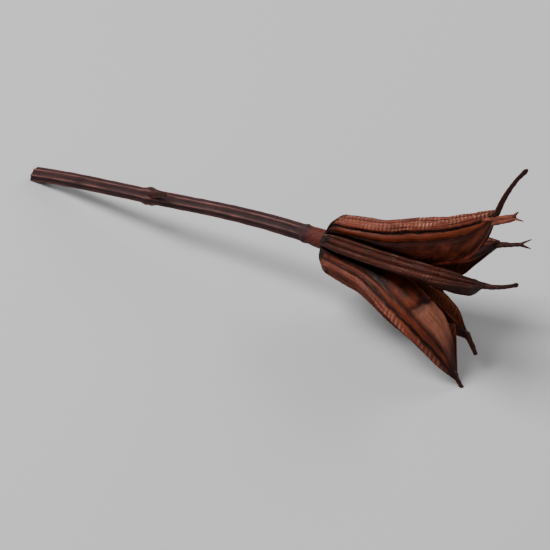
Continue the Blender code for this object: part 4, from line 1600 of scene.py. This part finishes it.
    def stamen_stumps(self, distance: np.ndarray, line: np.ndarray, ahead: np.ndarray) -> bpy.types.Object:
        """Build the stumps of fallen stamens, which stand in slanting rows round the receptacle.

        Args:
            distance: distances from the joint.
            line: the stem's middle line there, in metres.
            ahead: its headings.

        Returns:
            The stumps as one piece.
        """
        spots, ways = [], []
        for row in range(self.stump_rows):
            place = self.stump_start + self.stump_pace * row
            index = int(np.argmin(np.abs(distance - place)))
            side = np.array(Vector((0.0, 0.0, 1.0)).cross(Vector(ahead[index])).normalized()[:])
            above = np.cross(ahead[index], side)
            radius, _ = self.radius(np.array(place))
            for count in range(self.stumps_round):
                turn = 2.0 * math.pi * (count + self.stump_turn * row) / self.stumps_round
                out = side * math.cos(turn) + above * math.sin(turn)
                spots.append(line[index] + out * (radius - 0.03) * MM)
                ways.append(out + 0.5 * ahead[index])
        thing = line_object("stamen_stumps", np.array(spots), ahead=np.array(ways))
        run_tree(thing, self.bristles, {"Length": 0.00012, "Root radius": 0.00011, "Tip radius": 0.00005,
                                        "Seed": 4, "Material": self.horn})
        return smooth(thing)

    def cut_fibres(self, rim: np.ndarray, ahead: np.ndarray) -> bpy.types.Object:
        """Build the short fibres that the cut left standing along the rind.

        Args:
            rim: the stalk's last ring, in metres.
            ahead: the stem's heading there.

        Returns:
            The fibres as one piece.
        """
        rng = np.random.default_rng(5)
        centre = rim.mean(axis=0)
        picks = rng.choice(len(rim), self.fibre_count, replace=False)
        spots = centre + (rim[picks] - centre) * rng.uniform(0.86, 0.97, (self.fibre_count, 1))
        ways = -ahead + rng.normal(0.0, self.fibre_lean, (self.fibre_count, 3))
        high = spots[:, 2] > self.fibre_floor * MM
        thing = line_object("cut_fibres", spots[high], ahead=ways[high])
        run_tree(thing, self.bristles, {"Length": 0.00042, "Root radius": 0.00005, "Tip radius": 0.00001,
                                        "Least size": 0.3, "Seed": 8, "Material": self.pith})
        return smooth(thing)


@dataclass
class Head:
    """The pod's head: six pouches, their beaks, the column they grew round and the scar at the joint, whose
    near-black is partly painted shade.
    """

    place: Place
    husk: bpy.types.Material
    lining: bpy.types.Material
    horn: bpy.types.Material
    torn: bpy.types.Material
    scar: bpy.types.Material
    horn_shape: bpy.types.NodeTree
    turned_sides: int = 96

    def build(self) -> list[bpy.types.Object]:
        """Build the pouches, the beaks, the column and the scar.

        Returns:
            The pieces.
        """
        tree = relief_tree()
        pouches = [Pouch(index, kind, self.place) for index, kind in enumerate(FOLLICLES)]
        pieces = []
        for pouch in pouches:
            thing = pouch.build()
            close_ends(thing.data)
            run_tree(thing, tree, {"Husk": self.husk, "Lining": self.lining})
            settle(thing.data)
            pieces.append(smooth(thing, 75.0))
        beaks = Beaks(pouches, self.place, self.horn, self.torn, self.horn_shape)
        pieces += beaks.build()
        pieces += [self.column(), self.joint()]
        return pieces

    def turned(self, name: str, profile: list[tuple[float, float]], lobes: float, rough: float,
               seed: int) -> bpy.types.Object:
        """Turn a profile round the pod's axis, with six lobes and a rough skin.

        Args:
            name: the object's name.
            profile: places up the axis and radii, in millimetres.
            lobes: how far the lobes stand out, against the radius.
            rough: size of the roughness in millimetres.
            seed: seed of the roughness.

        Returns:
            The closed object.
        """
        rng = np.random.default_rng(seed)
        turn = 2.0 * math.pi * np.arange(self.turned_sides) / self.turned_sides
        x = np.array([p[0] for p in profile])[:, None]
        radius = np.array([p[1] for p in profile])[:, None]
        waves = sum(rng.normal(0.0, 1.0 / k) * np.cos(k * turn + rng.uniform(0.0, 6.3)) for k in range(5, 17))
        lobe = 1.0 + lobes * np.cos(Pouch.count * (turn - math.radians(Pouch.root_azimuth)))
        radial = radius * lobe + rough * waves
        points = np.stack(np.broadcast_arrays(x, -np.sin(turn) * radial, np.cos(turn) * radial), axis=-1)
        mesh = grid_mesh(name, self.place.world(points))
        close_ends(mesh)
        return smooth(link_object(name, mesh), 70.0)

    def column(self) -> bpy.types.Object:
        """Build the column in the middle of the head, where the inner seams meet, in the scar's near-black as
        painted shade far inside the head.

        Returns:
            The column.
        """
        profile = list(zip(np.linspace(0.2, 14.2, 30), np.linspace(2.0, 0.5, 30) ** 0.9))
        thing = self.turned("column", profile, 0.16, 0.03, 2)
        thing.data.materials.append(self.scar)
        return thing

    def joint(self) -> bpy.types.Object:
        """Build the corky scar that rings the joint between stem and pod: its near-black is partly its own
        colour and partly painted shade in the gap there.

        Returns:
            The scar.
        """
        profile = [(-0.62, 1.2), (-0.5, 1.46), (-0.38, 1.47), (-0.26, 1.36), (-0.14, 1.3), (-0.02, 1.42),
                   (0.1, 1.74), (0.2, 1.9), (0.3, 1.7)]
        thing = self.turned("joint_scar_and_shade", profile, 0.03, 0.03, 3)
        thing.data.materials.append(self.scar)
        return thing


@dataclass
class Studio:
    """Plain pale floor, soft light and the camera."""

    azimuth: float = 32.0
    elevation: float = 40.0
    lens: float = 320.0
    sensor: float = 36.0
    margin: float = 1.1
    floor_colour: str = "#B0AFB0"
    floor_reach: float = 1.5
    world_colour: str = "#D4D6D8"
    world_strength: float = 0.42

    def build(self) -> None:
        """Set the floor, the lights and the camera."""
        self.floor()
        self.lights()
        self.camera()

    def floor(self) -> None:
        """Lay a large matt sheet under the object."""
        shape = bmesh.new()
        bmesh.ops.create_grid(shape, x_segments=1, y_segments=1, size=self.floor_reach)
        mesh = bpy.data.meshes.new("floor")
        shape.to_mesh(mesh)
        shape.free()
        material = bpy.data.materials.new("matt_paper")
        material.use_nodes = True
        shader = material.node_tree.nodes["Principled BSDF"]
        shader.inputs["Base Color"].default_value = linear(self.floor_colour)
        shader.inputs["Roughness"].default_value = 0.9
        shader.inputs["Specular IOR Level"].default_value = 0.2
        mesh.materials.append(material)
        link_object("floor", mesh)

    def lights(self) -> None:
        """Set a broad key from the upper left, a weak fill and an even world."""
        world = bpy.data.worlds.new("soft_room")
        world.use_nodes = True
        background = world.node_tree.nodes["Background"]
        background.inputs["Color"].default_value = linear(self.world_colour)
        background.inputs["Strength"].default_value = self.world_strength
        bpy.context.scene.world = world
        for name, energy, size, spot in (
            ("key", 3.6, 0.26, (-0.2, -0.1, 0.42)),
            ("fill", 0.35, 0.3, (0.3, -0.32, 0.16)),
            ("rim", 0.9, 0.2, (0.12, 0.34, 0.22)),
        ):
            light = bpy.data.lights.new(name, "AREA")
            light.energy = energy
            light.size = size
            lamp = bpy.data.objects.new(name, light)
            lamp.location = spot
            lamp.rotation_euler = (-Vector(spot)).to_track_quat("-Z", "Y").to_euler()
            bpy.context.scene.collection.objects.link(lamp)

    def camera(self) -> None:
        """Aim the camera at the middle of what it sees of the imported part, and stand back until all fits."""
        az, el = math.radians(self.azimuth), math.radians(self.elevation)
        back = np.array((math.sin(az) * math.cos(el), -math.cos(az) * math.cos(el), math.sin(el)))
        right = np.array((math.cos(az), math.sin(az), 0.0))
        up = np.cross(back, right)
        corners = np.concatenate([np.array([v.co[:] for v in node.data.vertices])
                                  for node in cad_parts.values()])
        seen = np.stack((corners @ right, corners @ up), axis=-1)
        low, high = seen.min(axis=0), seen.max(axis=0)
        middle = right * (low[0] + high[0]) / 2 + up * (low[1] + high[1]) / 2
        width = max(high - low) * self.margin
        distance = width * self.lens / self.sensor
        data = bpy.data.cameras.new("camera")
        data.lens = self.lens
        data.sensor_width = self.sensor
        data.clip_start = 0.01
        camera = bpy.data.objects.new("camera", data)
        camera.location = Vector(middle + back * distance)
        camera.rotation_euler = Vector(back).to_track_quat("Z", "Y").to_euler()
        bpy.context.scene.collection.objects.link(camera)
        bpy.context.scene.camera = camera


def attach(things: list[bpy.types.Object], node: str) -> None:
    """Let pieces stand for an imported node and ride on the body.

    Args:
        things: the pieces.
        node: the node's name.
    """
    for thing in things:
        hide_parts(node)
        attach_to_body(thing, "root")
        LOG.info("%s: %d faces", thing.name, len(thing.data.polygons))


def main() -> None:
    """Build the head, the stem and the studio."""
    logging.basicConfig(level=logging.INFO, format="%(message)s")
    place = Place()
    horn = HornFinish().material()
    shape = horn_tree()
    head = Head(place, HuskFinish().material(), LiningFinish().material(), horn, TORN_EDGE.material(),
                SCAR_AND_SHADE.material(), shape)
    stem = Stem(place, StalkFinish().material(), PITH.material(), horn, shape, bristle_tree())
    attach(head.build(), "pod")
    attach(stem.build(), "stem")
    Studio().build()


if __name__ == "__main__":
    main()
